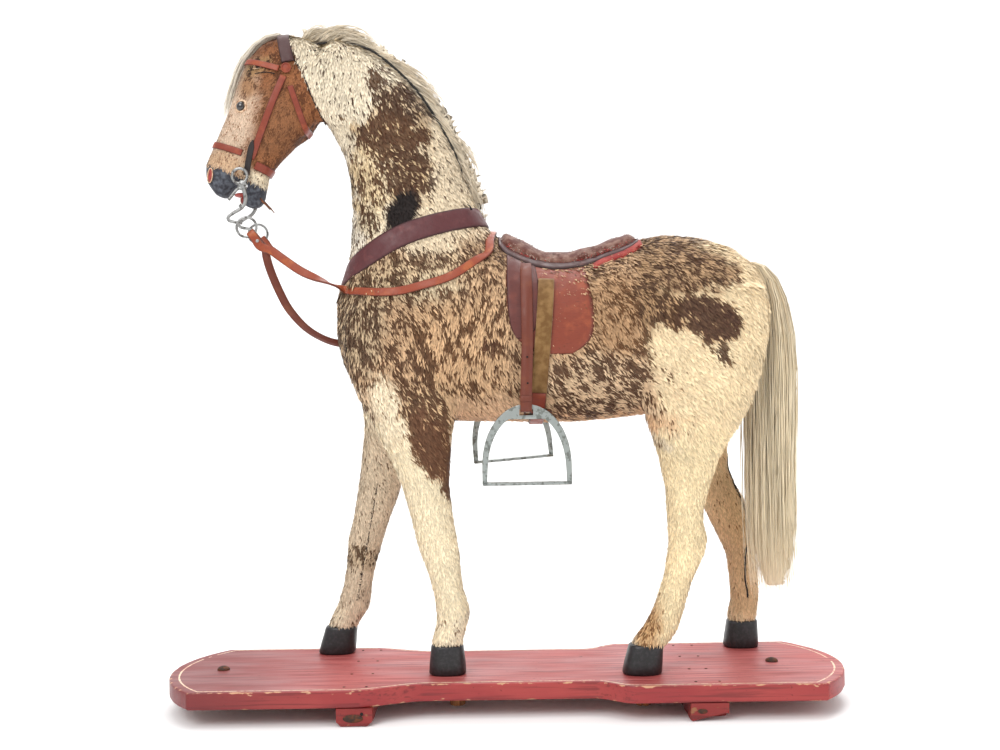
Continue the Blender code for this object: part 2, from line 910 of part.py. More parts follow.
def hoop_path(surface, middle, ahead, start, end, count, reach):
    """A path round the head: angles in degrees, 0 to the near side, 90 towards ahead."""
    path = []
    for k in range(count):
        angle = math.radians(start + (end - start) * k / (count - 1))
        way = Vector((0, -1, 0)) * math.cos(angle) + ahead * math.sin(angle)
        path.append((surface.around(middle, way, reach), way))
    return path


def plane_way(x0, z0, x1, z1):
    """The direction in the side view from one station to another."""
    return (fig(x1, 0, z1) - fig(x0, 0, z0)).normalized()


def make_bridle(surface, body, mats):
    """Crown strap, browband, throat latch, cheek straps, bit hangers, noseband and chin strap."""
    for near in (True, False):
        tag = "near" if near else "far"
        for name, stations, count, material in (
            ("cheek_strap", CHEEK_STRAP, 10, "tan_leather"),
            ("bit_hanger", BIT_HANGER, 3, "black_leather"),
        ):
            path = side_path(surface, stations, count, near)
            clear_of(strap(f"{name}_{tag}", surface, path, BRIDLE_WIDTH, mats[material]), [body])
    hoops = {}
    for name, (middle, facing, start, end, count, reach, wide, thick, material) in BRIDLE_HOOPS.items():
        path = hoop_path(
            surface, fig(middle[0], 0, middle[1]), plane_way(*middle, *facing), start, end, count, reach
        )
        hoops[name] = strap(name, surface, path, BRIDLE_WIDTH * wide, mats[material], thick)
        clear_of(hoops[name], [body])
    clear_of(hoops["browband"], [hoops["crown_strap"]])
    clear_of(hoops["throat_latch"], [hoops["crown_strap"], hoops["browband"]])
    return hoops


def tube(name, points, radius, material, count=8, closed=False):
    """A round wire through points."""
    rings = []
    total = len(points)
    side = None
    for i, place in enumerate(points):
        before = points[(i - 1) % total] if closed or i else points[0]
        after = points[(i + 1) % total] if closed or i < total - 1 else points[-1]
        along = (after - before).normalized()
        if side is None:
            side = along.cross(Vector((0, 1, 0)))
            if side.length < 0.1:
                side = along.cross(Vector((1, 0, 0)))
        side = (side - along * side.dot(along)).normalized()
        rings.append(ring(place, side * radius, along.cross(side) * radius, count, 1.0))
    verts, faces = skin(rings)
    if closed:
        faces = faces[:-2]
        last = (total - 1) * count
        faces += [(last + j, last + (j + 1) % count, (j + 1) % count, j) for j in range(count)]
    return build(name, verts, faces, material)


def circle(middle, axis_a, axis_b, count):
    """Points on a circle."""
    return [
        middle + axis_a * math.cos(2 * math.pi * k / count) + axis_b * math.sin(2 * math.pi * k / count)
        for k in range(count)
    ]


def shell_on(name, grid, thick, material):
    """A sheet over a grid of (place, outward way); thick(i, j) gives its thickness."""
    rows = len(grid)
    cols = len(grid[0])
    under = []
    over = []
    for i, row in enumerate(grid):
        for j, (place, way) in enumerate(row):
            under.append(place - way * STRAP_DIP)
            over.append(place + way * thick(i, j))
    verts = under + over
    start = rows * cols
    faces = []
    for i in range(rows - 1):
        for j in range(cols - 1):
            a = i * cols + j
            faces.append((a, a + 1, a + cols + 1, a + cols))
            faces.append((start + a, start + a + cols, start + a + cols + 1, start + a + 1))
    rim = [i * cols for i in range(rows)]
    rim += [(rows - 1) * cols + j for j in range(1, cols)]
    rim += [i * cols + cols - 1 for i in range(rows - 2, -1, -1)]
    rim += list(range(cols - 2, 0, -1))
    for a, b in zip(rim, rim[1:] + rim[:1]):
        faces.append((a, b, start + b, start + a))
    return build(name, verts, faces, material)


def over_back(surface, x, low_z, share, cols):
    """Points over the back at one x, down both sides to a share of the way to low_z."""
    middle = fig(x, 0, 430)
    reach = 1.45
    for k in range(1, 59):
        angle = k * 0.025
        way = Vector((0, math.sin(angle), math.cos(angle)))
        if surface.around(middle, way).z < fig(x, 0, low_z).z:
            reach = angle
            break
    row = []
    for j in range(cols):
        angle = (2 * j / (cols - 1) - 1) * reach * share
        way = Vector((0, math.sin(angle), math.cos(angle)))
        row.append((surface.around(middle, way), way))
    return row


def skirt_low(x):
    """The height of the skirt's lower edge at one x."""
    for (x0, z0, _), (x1, z1, _) in zip(SADDLE, SADDLE[1:]):
        if x <= x1:
            return z0 + (z1 - z0) * (x - x0) / (x1 - x0)
    return SADDLE[-1][1]


def make_saddle(surface, body, mats):
    """Leather skirt, padded seat and two flaps."""
    rows = many(SADDLE, 10)
    cols = 9
    skirt = shell_on(
        "saddle_skirt",
        [over_back(surface, x, low, 1.0, cols) for x, low, _ in rows],
        lambda i, j: SKIRT_THICK,
        mats["brown_leather"],
    )
    clear_of(skirt, [body])
    grid = [over_back(surface, x * 0.97 + 3, low, 0.72, cols) for x, low, _ in rows]

    def pad(i, j):
        edge = abs(2 * j / (cols - 1) - 1)
        return max(rows[i][2] * MM * SCALE * (1 - 0.45 * edge**3), SEAT_EDGE)

    seat = shell_on("saddle_seat", grid, pad, mats["plush"])
    clear_of(seat, [skirt, body])
    flaps = []
    for near in (True, False):
        grid = []
        sign = -1 if near else 1
        for z, front, rear in many(FLAP, 10):
            row = []
            for j in range(6):
                x = front + (rear - front) * j / 5
                share = ((z - FLAP[-1][0]) / (FLAP[0][0] - FLAP[-1][0])) ** 2
                station = fig(x, 0, z + (skirt_low(x) - FLAP_BELOW_SKIRT - FLAP[0][0]) * share)
                row.append((surface.side(station.x, station.z, near), Vector((0, sign, 0))))
            grid.append(row)
        name = "saddle_flap_near" if near else "saddle_flap_far"
        flap = shell_on(name, grid, lambda i, j: FLAP_THICK, mats["tan_leather"])
        clear_of(flap, [body])
        flaps.append(flap)
    return skirt, seat, flaps


def make_girth(body, flaps, mats):
    """The webbing girth round the belly, over both flaps, with its buckle."""
    surface = Surface(body, *flaps)
    count = 49
    spots = []
    for k in range(count):
        angle = math.radians(GIRTH_RISE - (180 + 2 * GIRTH_RISE) * k / (count - 1))
        way = Vector((0, -math.cos(angle), math.sin(angle)))
        middle = fig(43.5 + 7 * math.sin(angle), 0, 395)
        spots.append((middle, way, (surface.around(middle, way) - middle).length))
    path = []
    for k in range(0, count, 2):
        reach = max(spots[n][2] for n in range(max(k - 2, 0), min(k + 3, count)))
        path.append((spots[k][0] + spots[k][1] * reach, spots[k][1]))
    girth = strap("girth", None, path, GIRTH_WIDTH, mats["webbing"], GIRTH_THICK, GIRTH_DIP)
    clear_of(girth, [body, *flaps])
    buckle = strap(
        "girth_buckle",
        None,
        [(path[k][0] + path[k][1] * (GIRTH_THICK + 0.0002), path[k][1]) for k in (10, 11)],
        GIRTH_WIDTH * 1.5,
        mats["dark_iron"],
        BUCKLE_THICK,
        0.001,
    )
    clear_of(buckle, [body, girth])


def stirrup_leather(near, body, flap, mats):
    """A strap from under the skirt, over the flap, round the stirrup's top bar."""
    surface = Surface(body, flap)
    sign = -1 if near else 1
    tag = "near" if near else "far"
    points = []
    widest = 0.0
    for z in STIRRUP_LEATHER_HEIGHTS:
        station = fig(27, 0, z)
        place = surface.side(station.x, station.z, near)
        out = abs(place.y - HORSE_Y) + STRAP_THICK * 0.5 + 0.0004
        widest = max(widest, out)
        points.append(Vector((station.x, HORSE_Y + sign * out, station.z)))
    y = HORSE_Y + sign * (widest + 0.002)
    bar = stirrup_top(near, y)
    around = TOP_BAR_DEPTH / 2 + STRAP_THICK / 2 + 0.0005
    hang = []
    for share in (0.25, 0.5, 0.75, 1.0):
        x = points[6].x + (bar.x - points[6].x) * share
        z = points[6].z + (bar.z + 0.004 - points[6].z) * share
        hang.append(Vector((x, y + sign * around * share, z)))
    points += hang[:-1]
    under = -TOP_BAR_HEIGHT / 2
    fold = [(around, 0.004)]
    for angle in (25, 60, 90, 120, 155):
        a = math.radians(angle)
        fold.append((around * math.cos(a), under - (STRAP_THICK / 2 + 0.0005) * math.sin(a)))
    fold += [(-around, 0.004), (-around, 0.018)]
    start = len(points)
    for out, rise in fold:
        points.append(bar + tilted(Vector((0, sign * out, rise)), tag))
    acrosses = [Vector((1, 0, 0))] * start + [tilted(Vector((1, 0, 0)), tag)] * len(fold)
    piece = band(
        f"stirrup_leather_{tag}",
        points,
        acrosses,
        STIRRUP_LEATHER_WIDTH,
        STRAP_THICK,
        mats["tan_leather"],
    )
    clear_of(piece, [body, flap])
    return y


def tilted(offset, tag):
    """An offset from the stirrup's top bar, turned as that stirrup hangs."""
    turn = math.radians(STIRRUP_TILT[tag])
    return Vector(
        (
            offset.x * math.cos(turn) - offset.z * math.sin(turn),
            offset.y,
            offset.x * math.sin(turn) + offset.z * math.cos(turn),
        )
    )


def band(name, points, acrosses, width, thick, material):
    """A flat strap through points, its width along the direction given for each."""
    rings = []
    total = len(points)
    for i, place in enumerate(points):
        along = (points[min(i + 1, total - 1)] - points[max(i - 1, 0)]).normalized()
        side = (acrosses[i] - along * acrosses[i].dot(along)).normalized()
        up = side.cross(along)
        a = side * width / 2
        b = up * thick / 2
        rings.append([place - a - b, place + a - b, place + a + b, place - a + b])
    verts, faces = skin(rings)
    return build(name, verts, faces, material, smooth=False)


def stirrup_top(near, y):
    """The middle of the stirrup's top bar."""
    tag = "near" if near else "far"
    foot = fig(STIRRUP_X[tag], 0, STIRRUP_FOOT + STIRRUP_RISE[tag])
    return Vector((foot.x, y, foot.z + STIRRUP_HEIGHT - TOP_BAR_HEIGHT / 2))


def make_stirrup(near, y, mats):
    """A flat metal arch with a thin tread and a slot for its strap."""
    tag = "near" if near else "far"
    bar = stirrup_top(near, y)
    foot = bar.z + TOP_BAR_HEIGHT / 2 - STIRRUP_HEIGHT
    half = STIRRUP_WIDTH / 2
    straight = STIRRUP_HEIGHT * 0.21
    arch = STIRRUP_HEIGHT - straight
    outer = [(-half, 0.0), (-half, straight * 0.5)]
    steps = 16
    for k in range(steps + 1):
        a = math.pi - math.pi * k / steps
        outer.append((half * math.cos(a), straight + arch * power(math.sin(a), 0.93)))
    outer += [(half, straight * 0.5), (half, 0.0)]
    slot_wide = STIRRUP_LEATHER_WIDTH / 2 + 0.001
    deep = TOP_BAR_HEIGHT + SLOT_HEIGHT + 0.004
    inner = []
    for x, z in outer:
        share = min(max(z / STIRRUP_HEIGHT, 0.0), 1.0)
        across = STIRRUP_BAR * (0.9 + 0.7 * share)
        lower = STIRRUP_HEIGHT - deep
        inner.append((x * (1 - across / half), lower if z > lower else z * (1 - 0.11 * share)))
    inner[0] = (inner[0][0], TREAD_THICK)
    inner[-1] = (inner[-1][0], TREAD_THICK)
    depth = STIRRUP_DEPTH / 2
    count = len(outer)
    verts = []
    for side in (-depth, depth):
        verts += [(bar.x + x, y + side, foot + z) for x, z in outer]
        verts += [(bar.x + x, y + side, foot + z) for x, z in inner]
    faces = []
    for i in range(count):
        j = (i + 1) % count
        for a, b in ((0, 1), (3, 2)):
            p, q = a * count, b * count
            faces.append((p + i, p + j, q + j, q + i))
        faces.append((i, j, 2 * count + j, 2 * count + i))
        faces.append((count + i, count + j, 3 * count + j, 3 * count + i))
    iron = build(f"stirrup_{tag}", verts, faces, mats["stirrup_metal"], smooth=False)
    tread = box(
        "tread",
        bar.x - half * 0.97,
        bar.x + half * 0.97,
        y - TREAD_DEPTH / 2,
        y + TREAD_DEPTH / 2,
        foot - 0.0004,
        foot + TREAD_THICK - 0.0006,
        mats,
    )
    join_into(iron, tread)
    slot = box(
        "slot",
        bar.x - slot_wide,
        bar.x + slot_wide,
        y - 0.02,
        y + 0.02,
        bar.z - TOP_BAR_HEIGHT / 2 - SLOT_HEIGHT,
        bar.z - TOP_BAR_HEIGHT / 2,
        mats,
    )
    cut(iron, slot)
    drop(slot)
    for side in (-1, 1):
        low = y + side * TOP_BAR_DEPTH / 2
        high = y + side * 0.02
        shave = box(
            "shave",
            bar.x - slot_wide,
            bar.x + slot_wide,
            min(low, high),
            max(low, high),
            bar.z - 0.01,
            bar.z + 0.01,
            mats,
        )
        cut(iron, shave)
        drop(shave)
    for vert in iron.data.vertices:
        vert.co = bar + tilted(vert.co - bar, tag)
    iron.data.materials.clear()
    iron.data.materials.append(mats["stirrup_metal"])


def make_collar(surface, body, mats):
    """The broad strap round the base of the neck."""
    ahead = plane_way(-22, 528, -174, 466)
    lift = Vector((-ahead.z, 0, ahead.x))
    if lift.z < 0:
        lift = -lift
    path = []
    count = 32
    for k in range(count):
        turn = 2 * math.pi * k / count
        angle = turn + COLLAR_CROWDING * math.sin(2 * turn)
        way = Vector((0, -1, 0)) * math.cos(angle) + ahead * math.sin(angle)
        middle = fig(-98, 0, 497) + lift * (0.014 * SCALE * abs(math.cos(angle)))
        path.append((surface.around(middle, way), way))
    collar = strap(
        "neck_collar",
        surface,
        path,
        COLLAR_WIDTH,
        mats["burgundy_leather"],
        COLLAR_THICK,
        closed=True,
    )
    clear_of(collar, [body])
    return collar


def make_mane(surface, body, mats):
    """The mane along the crest, fallen to the far side."""
    rings = []
    drops = many([(d,) for d in MANE_DROP], 13)
    for (ox, oz, ix, iz), (drop_down,) in zip(many(MANE, 13), drops):
        crest = fig(ix, 0, iz)
        outer = fig(ox, 0, oz)
        down = Vector((0, 0, -drop_down * MM * SCALE))
        forward = Vector((-0.15 * drop_down * MM * SCALE, 0, 0))
        low = crest + down + forward
        place = surface.side(low.x, low.z, near=False)
        far = place.y if place is not None else HORSE_Y + 0.03
        half = crest + down * 0.5
        rings.append(
            [
                crest + Vector((0, -0.004, -0.003)),
                crest.lerp(outer, 0.7) + Vector((0, -0.004, 0)),
                outer + Vector((0, 0.004, 0)),
                outer + Vector((0, 0.016, -0.004)),
                outer + down * 0.5 + Vector((0, far - HORSE_Y + 0.007 - outer.y + HORSE_Y, 0)),
                Vector((low.x, far + 0.006, low.z)),
                Vector((low.x, far - 0.003, low.z)),
                Vector((half.x, HORSE_Y + 0.004, half.z)),
            ]
        )
    verts, faces = skin(rings)
    mane = build("mane", verts, faces, mats["horsehair"])
    rounded(mane, MANE_VOXEL, 2, MANE_TRIANGLES)
    clear_of(mane, [body])


def make_hair(body, others, mats):
    """Forelock and tail."""
    rings = []
    for x, z, y, a, b in many(TAIL, 13):
        long = Vector((a * MM * SCALE, 0, 0))
        wide = Vector((0, b * MM * SCALE, 0))
        rings.append(ring(fig(x, y, z), long, wide, 9, 1.0))
    verts, faces = skin(rings)
    tail = build("tail", verts, faces, mats["horsehair"])
    clear_of(tail, [body])
    rings = []
    for x, z, y, a, b in many(FORELOCK, 8):
        out = Vector((-0.6, 0, 0.8)).normalized() * a * MM * SCALE
        rings.append(ring(fig(x, y, z), out, Vector((0, b * MM * SCALE, 0)), 8, 1.0))
    verts, faces = skin(rings)
    lock = build("forelock", verts, faces, mats["horsehair"])
    clear_of(lock, [body, *others])


def side_at(near, x, z, out):
    """A station at a distance from the horse's middle plane, on one side."""
    point = fig(x, 0, z)
    point.y = HORSE_Y + (-out if near else out) * SCALE
    return point


def make_bit(body, mats):
    """Cheek rings, S-shaped shanks, hooks and mouthpiece as one bit, and two rein rings.

    Returns how far the rein rings hang from the horse's middle plane.
    """
    count = 5
    whole = None
    for near in (True, False):
        middle = side_at(near, *BIT_RING_AT, BIT_CHEEK_Y)
        reach = BIT_RING_RADIUS * MM * SCALE
        ring_piece = tube(
            "bit_ring",
            circle(middle, Vector((reach, 0, 0)), Vector((0, 0, reach)), 12),
            BIT_WIRE,
            mats["bit_metal"],
            count,
            closed=True,
        )
        shank = tube(
            "shank",
            [side_at(near, p.x, p.z, BIT_CHEEK_Y) for p in spread([(x, 0.0, z) for x, z in SHANK], 11)],
            BIT_WIRE * 1.15,
            mats["bit_metal"],
            count,
        )
        hook = tube(
            "hook",
            [side_at(near, p.x, p.z, BIT_CHEEK_Y) for p in spread([(x, 0.0, z) for x, z in HOOK], 5)],
            BIT_WIRE * 1.05,
            mats["bit_metal"],
            count,
        )
        join_into(ring_piece, shank)
        join_into(ring_piece, hook)
        if whole is None:
            whole = ring_piece
        else:
            join_into(whole, ring_piece)
    bar = tube(
        "bar",
        [side_at(True, *BIT_BAR_AT, BIT_CHEEK_Y), side_at(False, *BIT_BAR_AT, BIT_CHEEK_Y)],
        BIT_WIRE,
        mats["bit_metal"],
        count,
    )
    join_into(whole, bar)
    whole.name = "curb_bit"
    whole.data.name = "curb_bit"
    whole.data.materials.clear()
    whole.data.materials.append(mats["bit_metal"])
    clear_of(body, [whole], GAP)
    out = BIT_CHEEK_Y + BIT_WIRE * 1.2 + RING_WIRE + 0.0006
    for near in (True, False):
        middle = side_at(near, *REIN_RING_AT, out)
        tube(
            "rein_ring_near" if near else "rein_ring_far",
            circle(middle, Vector((REIN_RING_RADIUS, 0, 0)), Vector((0, 0, REIN_RING_RADIUS)), 16),
            RING_WIRE,
            mats["bit_metal"],
            count,
            closed=True,
        )
    return out


def rein_end(near, out):
    """The strap's fold round the rein ring, from its short end out to the long side."""
    middle = side_at(near, *REIN_RING_AT, out)
    turn = math.radians(REIN_HANG)
    radial = Vector((math.cos(turn), 0, math.sin(turn)))
    wire = middle + radial * (REIN_RING_RADIUS - 0.0006)
    sign = Vector((0, -1 if near else 1, 0))
    around = RING_WIRE + REIN_THICK / 2 + REIN_CLEAR
    points = [wire + radial * 0.016 - sign * around, wire + radial * 0.008 - sign * around]
    for angle in (90, 125, 160, 180, 200, 235, 270):
        a = math.radians(angle)
        points.append(wire + radial * around * math.cos(a) - sign * around * math.sin(a))
    points.append(wire + radial * 0.008 + sign * around)
    return points


def make_reins(surface, out, others, mats):
    """One flat strap from the near ring over the withers to the far ring."""
    halves = []
    for near, free, on_body in (
        (True, NEAR_REIN, NEAR_REIN_ON_BODY),
        (False, FAR_REIN, FAR_REIN_ON_BODY),
    ):
        sign = -1 if near else 1
        points = rein_end(near, out)
        fold = len(points)
        flats = [0.0] * len(points)
        for x, y, z, flat in free:
            points.append(fig(x, y, z))
            flats.append(flat)
        for x, z in on_body:
            station = fig(x, 0, z)
            place = surface.side(station.x, station.z, near)
            points.append(place + Vector((0, sign * (REIN_THICK / 2 + 0.0016), 0)))
            flats.append(0.25)
        halves.append((points, flats))
    near_points, near_flats = halves[0]
    far_points, far_flats = halves[1]
    shoulder = []
    for angle in (-52, -30, 0, 30, 52):
        a = math.radians(angle)
        way = Vector((0, math.sin(a), math.cos(a)))
        place = surface.around(fig(REIN_TOP[0] - 6 * abs(math.sin(a)), 0, 452), way)
        shoulder.append(place + way * (REIN_THICK / 2 + REIN_CLEAR))
    points = near_points + shoulder + far_points[::-1]
    flats = near_flats + [1.0] * 5 + far_flats[::-1]
    body_part = [tuple(p) + (f,) for p, f in zip(points, flats)][fold - 1 : len(points) - fold + 1]
    smooth = many(body_part, 42)
    line = [Vector(p) for p in points[: fold - 1]]
    levels = [0.0] * (fold - 1)
    for x, y, z, flat in smooth:
        line.append(Vector((x, y, z)))
        levels.append(min(max(flat, 0.0), 1.0))
    line += [Vector(p) for p in points[len(points) - fold + 1 :]]
    levels += [0.0] * (fold - 1)
    acrosses = []
    total = len(line)
    for i, flat in enumerate(levels):
        along = (line[min(i + 1, total - 1)] - line[max(i - 1, 0)]).normalized()
        near = line[i].y < HORSE_Y
        face = Vector((0, -1 if near else 1, 0)) * (1 - flat) + Vector((0, 0, 1)) * flat
        if i < fold - 1 or i > total - fold:
            turn = math.radians(REIN_HANG)
            across = Vector((-math.sin(turn), 0, math.cos(turn)))
            if not near:
                across = -across
        else:
            across = along.cross(face).normalized()
        acrosses.append(across)
    if acrosses[0].dot(acrosses[fold + 2]) < 0:
        for i in range(fold - 1):
            acrosses[i] = -acrosses[i]
    if acrosses[-1].dot(acrosses[-fold - 3]) < 0:
        for i in range(total - fold + 1, total):
            acrosses[i] = -acrosses[i]
    reins = band("reins", line, acrosses, REIN_WIDTH, REIN_THICK, mats["tan_leather"])
    clear_of(reins, others)


def make_eyes(surface, body, mats):
    """Glass eyes, each in a socket in the hide."""
    for near in (True, False):
        station = fig(EYE_AT[0], 0, EYE_AT[1])
        place = surface.side(station.x, station.z, near)
        sign = 1 if near else -1
        middle = place + Vector((0.0006, sign * EYE_PROUD, 0))
        rings = []
        steps = 6
        for k in range(steps + 1):
            angle = math.pi * k / steps
            around = max(math.sin(angle), 0.02)
            centre = middle + Vector((0, 0, EYE_RADIUS * math.cos(angle)))
            rings.append(
                ring(
                    centre,
                    Vector((EYE_RADIUS * around, 0, 0)),
                    Vector((0, EYE_RADIUS * 0.8 * around, 0)),
                    10,
                    1.0,
                )
            )
        verts, faces = skin(rings)
        eye = build("eye_near" if near else "eye_far", verts, faces, mats["eye_glass"])
        clear_of(body, [eye], GAP)


def main():
    """Build every piece of the toy."""
    clear_scene()
    mats = {
        "red_paint": paint("red painted wood", (0.42, 0.07, 0.055), 0.6),
        "batten_paint": paint("dark red painted batten", (0.2, 0.04, 0.03), 0.7),
        "bare_wood": paint("bare turned wood", (0.38, 0.2, 0.09), 0.75),
        "dark_iron": paint("dark iron", (0.03, 0.025, 0.022), 0.6, 0.6),
        "hide": paint("spotted hide", (0.55, 0.43, 0.3), 0.85),
        "black_paint": paint("black painted wood", (0.012, 0.012, 0.013), 0.5),
        "tan_leather": paint("orange tan leather", (0.4, 0.13, 0.04), 0.5),
        "brown_leather": paint("dark brown leather", (0.1, 0.03, 0.02), 0.5),
        "burgundy_leather": paint("burgundy leather", (0.16, 0.03, 0.03), 0.5),
        "black_leather": paint("black leather", (0.02, 0.015, 0.015), 0.5),
        "plush": paint("worn red plush", (0.3, 0.12, 0.09), 0.9),
        "webbing": paint("khaki webbing", (0.28, 0.2, 0.1), 0.9),
        "stirrup_metal": paint("grey stirrup metal", (0.4, 0.41, 0.4), 0.45, 0.9),
        "bit_metal": paint("dull bit metal", (0.3, 0.29, 0.27), 0.45, 0.9),
        "horsehair": paint("pale horsehair", (0.62, 0.52, 0.36), 0.6),
        "eye_glass": paint("dark glass eye", (0.02, 0.015, 0.01), 0.1),
    }
    make_platform(mats)
    body = make_body(mats)
    for row in HOOVES:
        make_hoof(row, mats)
    flat_feet(body, mats)
    make_eyes(Surface(body), body, mats)
    surface = Surface(body)
    collar = make_collar(surface, body, mats)
    hoops = make_bridle(surface, body, mats)
    skirt, seat, flaps = make_saddle(surface, body, mats)
    make_girth(body, flaps, mats)
    for near, flap in ((True, flaps[0]), (False, flaps[1])):
        y = stirrup_leather(near, body, flap, mats)
        make_stirrup(near, y, mats)
    make_mane(surface, body, mats)
    make_hair(body, [hoops["crown_strap"], hoops["browband"]], mats)
    out = make_bit(body, mats)
    make_reins(surface, out, [body, collar, skirt, seat], mats)


main()
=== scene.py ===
"""Hide-covered toy horse in leather harness on its red painted platform: the render model.

The horse faces -X with its near side at -Y. Stations are millimetres: x from the middle of
the board, y from the horse's own middle plane, z from the floor; fig() gives metres.
"""

import logging
import math
from dataclasses import dataclass, field
from enum import Enum
from typing import Callable, Optional, Sequence

import bmesh
import bpy
import numpy as np
from mathutils import Matrix, Vector, noise
from mathutils.bvhtree import BVHTree


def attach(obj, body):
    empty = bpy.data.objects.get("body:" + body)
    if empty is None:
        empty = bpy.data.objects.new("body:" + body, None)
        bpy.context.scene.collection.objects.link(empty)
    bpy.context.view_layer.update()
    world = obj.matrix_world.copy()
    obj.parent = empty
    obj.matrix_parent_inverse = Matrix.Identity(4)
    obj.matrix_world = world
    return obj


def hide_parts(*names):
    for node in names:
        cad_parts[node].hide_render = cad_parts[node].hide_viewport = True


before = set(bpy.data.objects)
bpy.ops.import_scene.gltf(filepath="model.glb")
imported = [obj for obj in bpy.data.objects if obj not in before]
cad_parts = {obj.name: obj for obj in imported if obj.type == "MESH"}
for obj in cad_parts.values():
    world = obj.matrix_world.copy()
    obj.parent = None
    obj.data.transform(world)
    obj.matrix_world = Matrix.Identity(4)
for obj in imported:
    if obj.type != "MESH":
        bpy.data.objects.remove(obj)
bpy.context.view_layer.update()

log = logging.getLogger("toy_horse")
NODES: dict[str, bpy.types.Object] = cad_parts

MM = 0.001
HORSE_Y = 0.014
BATTEN_TOP = 0.019
BOARD_TOP = 0.037
NEAR = -1
FAR = 1
FOLD_TURN = math.radians(-52)
LENS = 45.0
CAMERA_PLACE = (-0.00235, -1.378, 0.357)
CAMERA_ROLL = math.radians(0.9)
BOLT_HEAD = Vector((0.007, 0.007, 0.004))
NAIL_HEAD = Vector((0.0016, 0.0016, 0.0004))

Station = tuple[float, ...]
Path = list[tuple[Vector, Vector]]


def fig(x: float, y: float, z: float) -> Vector:
    """A station in metres."""
    return Vector((x * MM, HORSE_Y + y * MM, z * MM))


def linear(code: str) -> tuple[float, float, float, float]:
    """An sRGB hex colour as linear values.

    Args:
        code: the colour, such as "#AA8866".
    Returns:
        Red, green, blue and alpha for a shader.
    """
    values = [int(code[i : i + 2], 16) / 255 for i in (1, 3, 5)]
    out = [v / 12.92 if v <= 0.04045 else ((v + 0.055) / 1.055) ** 2.4 for v in values]
    return out[0], out[1], out[2], 1.0


def between(table: Sequence[Station], share: float) -> list[float]:
    """A table row at a share of its length, smooth between rows.

    Args:
        table: rows of equal length.
        share: 0 at the first row and 1 at the last.
    Returns:
        The row there.
    """
    place = min(max(share, 0.0), 1.0) * (len(table) - 1)
    i = min(int(place), len(table) - 2)
    t = place - i
    rows = (table[max(i - 1, 0)], table[i], table[i + 1], table[min(i + 2, len(table) - 1)])
    return [
        0.5 * (2 * b + (c - a) * t + (2 * a - 5 * b + 4 * c - d) * t**2 + (3 * b - a - 3 * c + d) * t**3)
        for a, b, c, d in zip(*rows)
    ]


def many(table: Sequence[Station], count: int) -> list[list[float]]:
    """The table's rows spread evenly to count rows."""
    return [between(table, k / (count - 1)) for k in range(count)]


def spread(points: Sequence[Station], step: float) -> list[Vector]:
    """Points at even steps along a smooth line.

    Args:
        points: places the line runs through.
        step: about how far apart the new points lie, in the same unit.
    Returns:
        The new points, first and last included.
    """
    line = [Vector(between(points, k / 400)) for k in range(401)]
    lengths = np.cumsum([0.0] + [(b - a).length for a, b in zip(line, line[1:])])
    count = max(int(lengths[-1] / step) + 1, 3)
    out = []
    for want in np.linspace(0, lengths[-1], count):
        j = min(int(np.searchsorted(lengths, want)), 400)
        k = max(j - 1, 0)
        part = (want - lengths[k]) / max(lengths[j] - lengths[k], 1e-9)
        out.append(line[k].lerp(line[j], part))
    return out


def ease(value: float, low: float, high: float) -> float:
    """A smooth step from 0 at low to 1 at high."""
    t = min(max((value - low) / (high - low), 0.0), 1.0)
    return t * t * (3 - 2 * t)


class Tree:
    """A node tree with one short way to add a node."""

    def __init__(self, tree: bpy.types.NodeTree) -> None:
        """Keep the tree."""
        self.tree = tree

    def add(self, kind: str, inputs: Optional[dict] = None, **settings: object) -> bpy.types.Node:
        """Add one node with its settings, values and links.

        Args:
            kind: the node's type name.
            inputs: values or sockets by input name or number.
            **settings: the node's own properties.
        Returns:
            The new node.
        """
        node = self.tree.nodes.new(kind)
        for key, value in settings.items():
            setattr(node, key, value)
        for key, value in (inputs or {}).items():
            if isinstance(value, bpy.types.NodeSocket):
                self.tree.links.new(value, node.inputs[key])
            else:
                node.inputs[key].default_value = value
        return node

    def math(self, operation: str, a: object, b: object = 0.0) -> bpy.types.NodeSocket:
        """The result of one sum."""
        return self.add("ShaderNodeMath", {0: a, 1: b}, operation=operation).outputs[0]


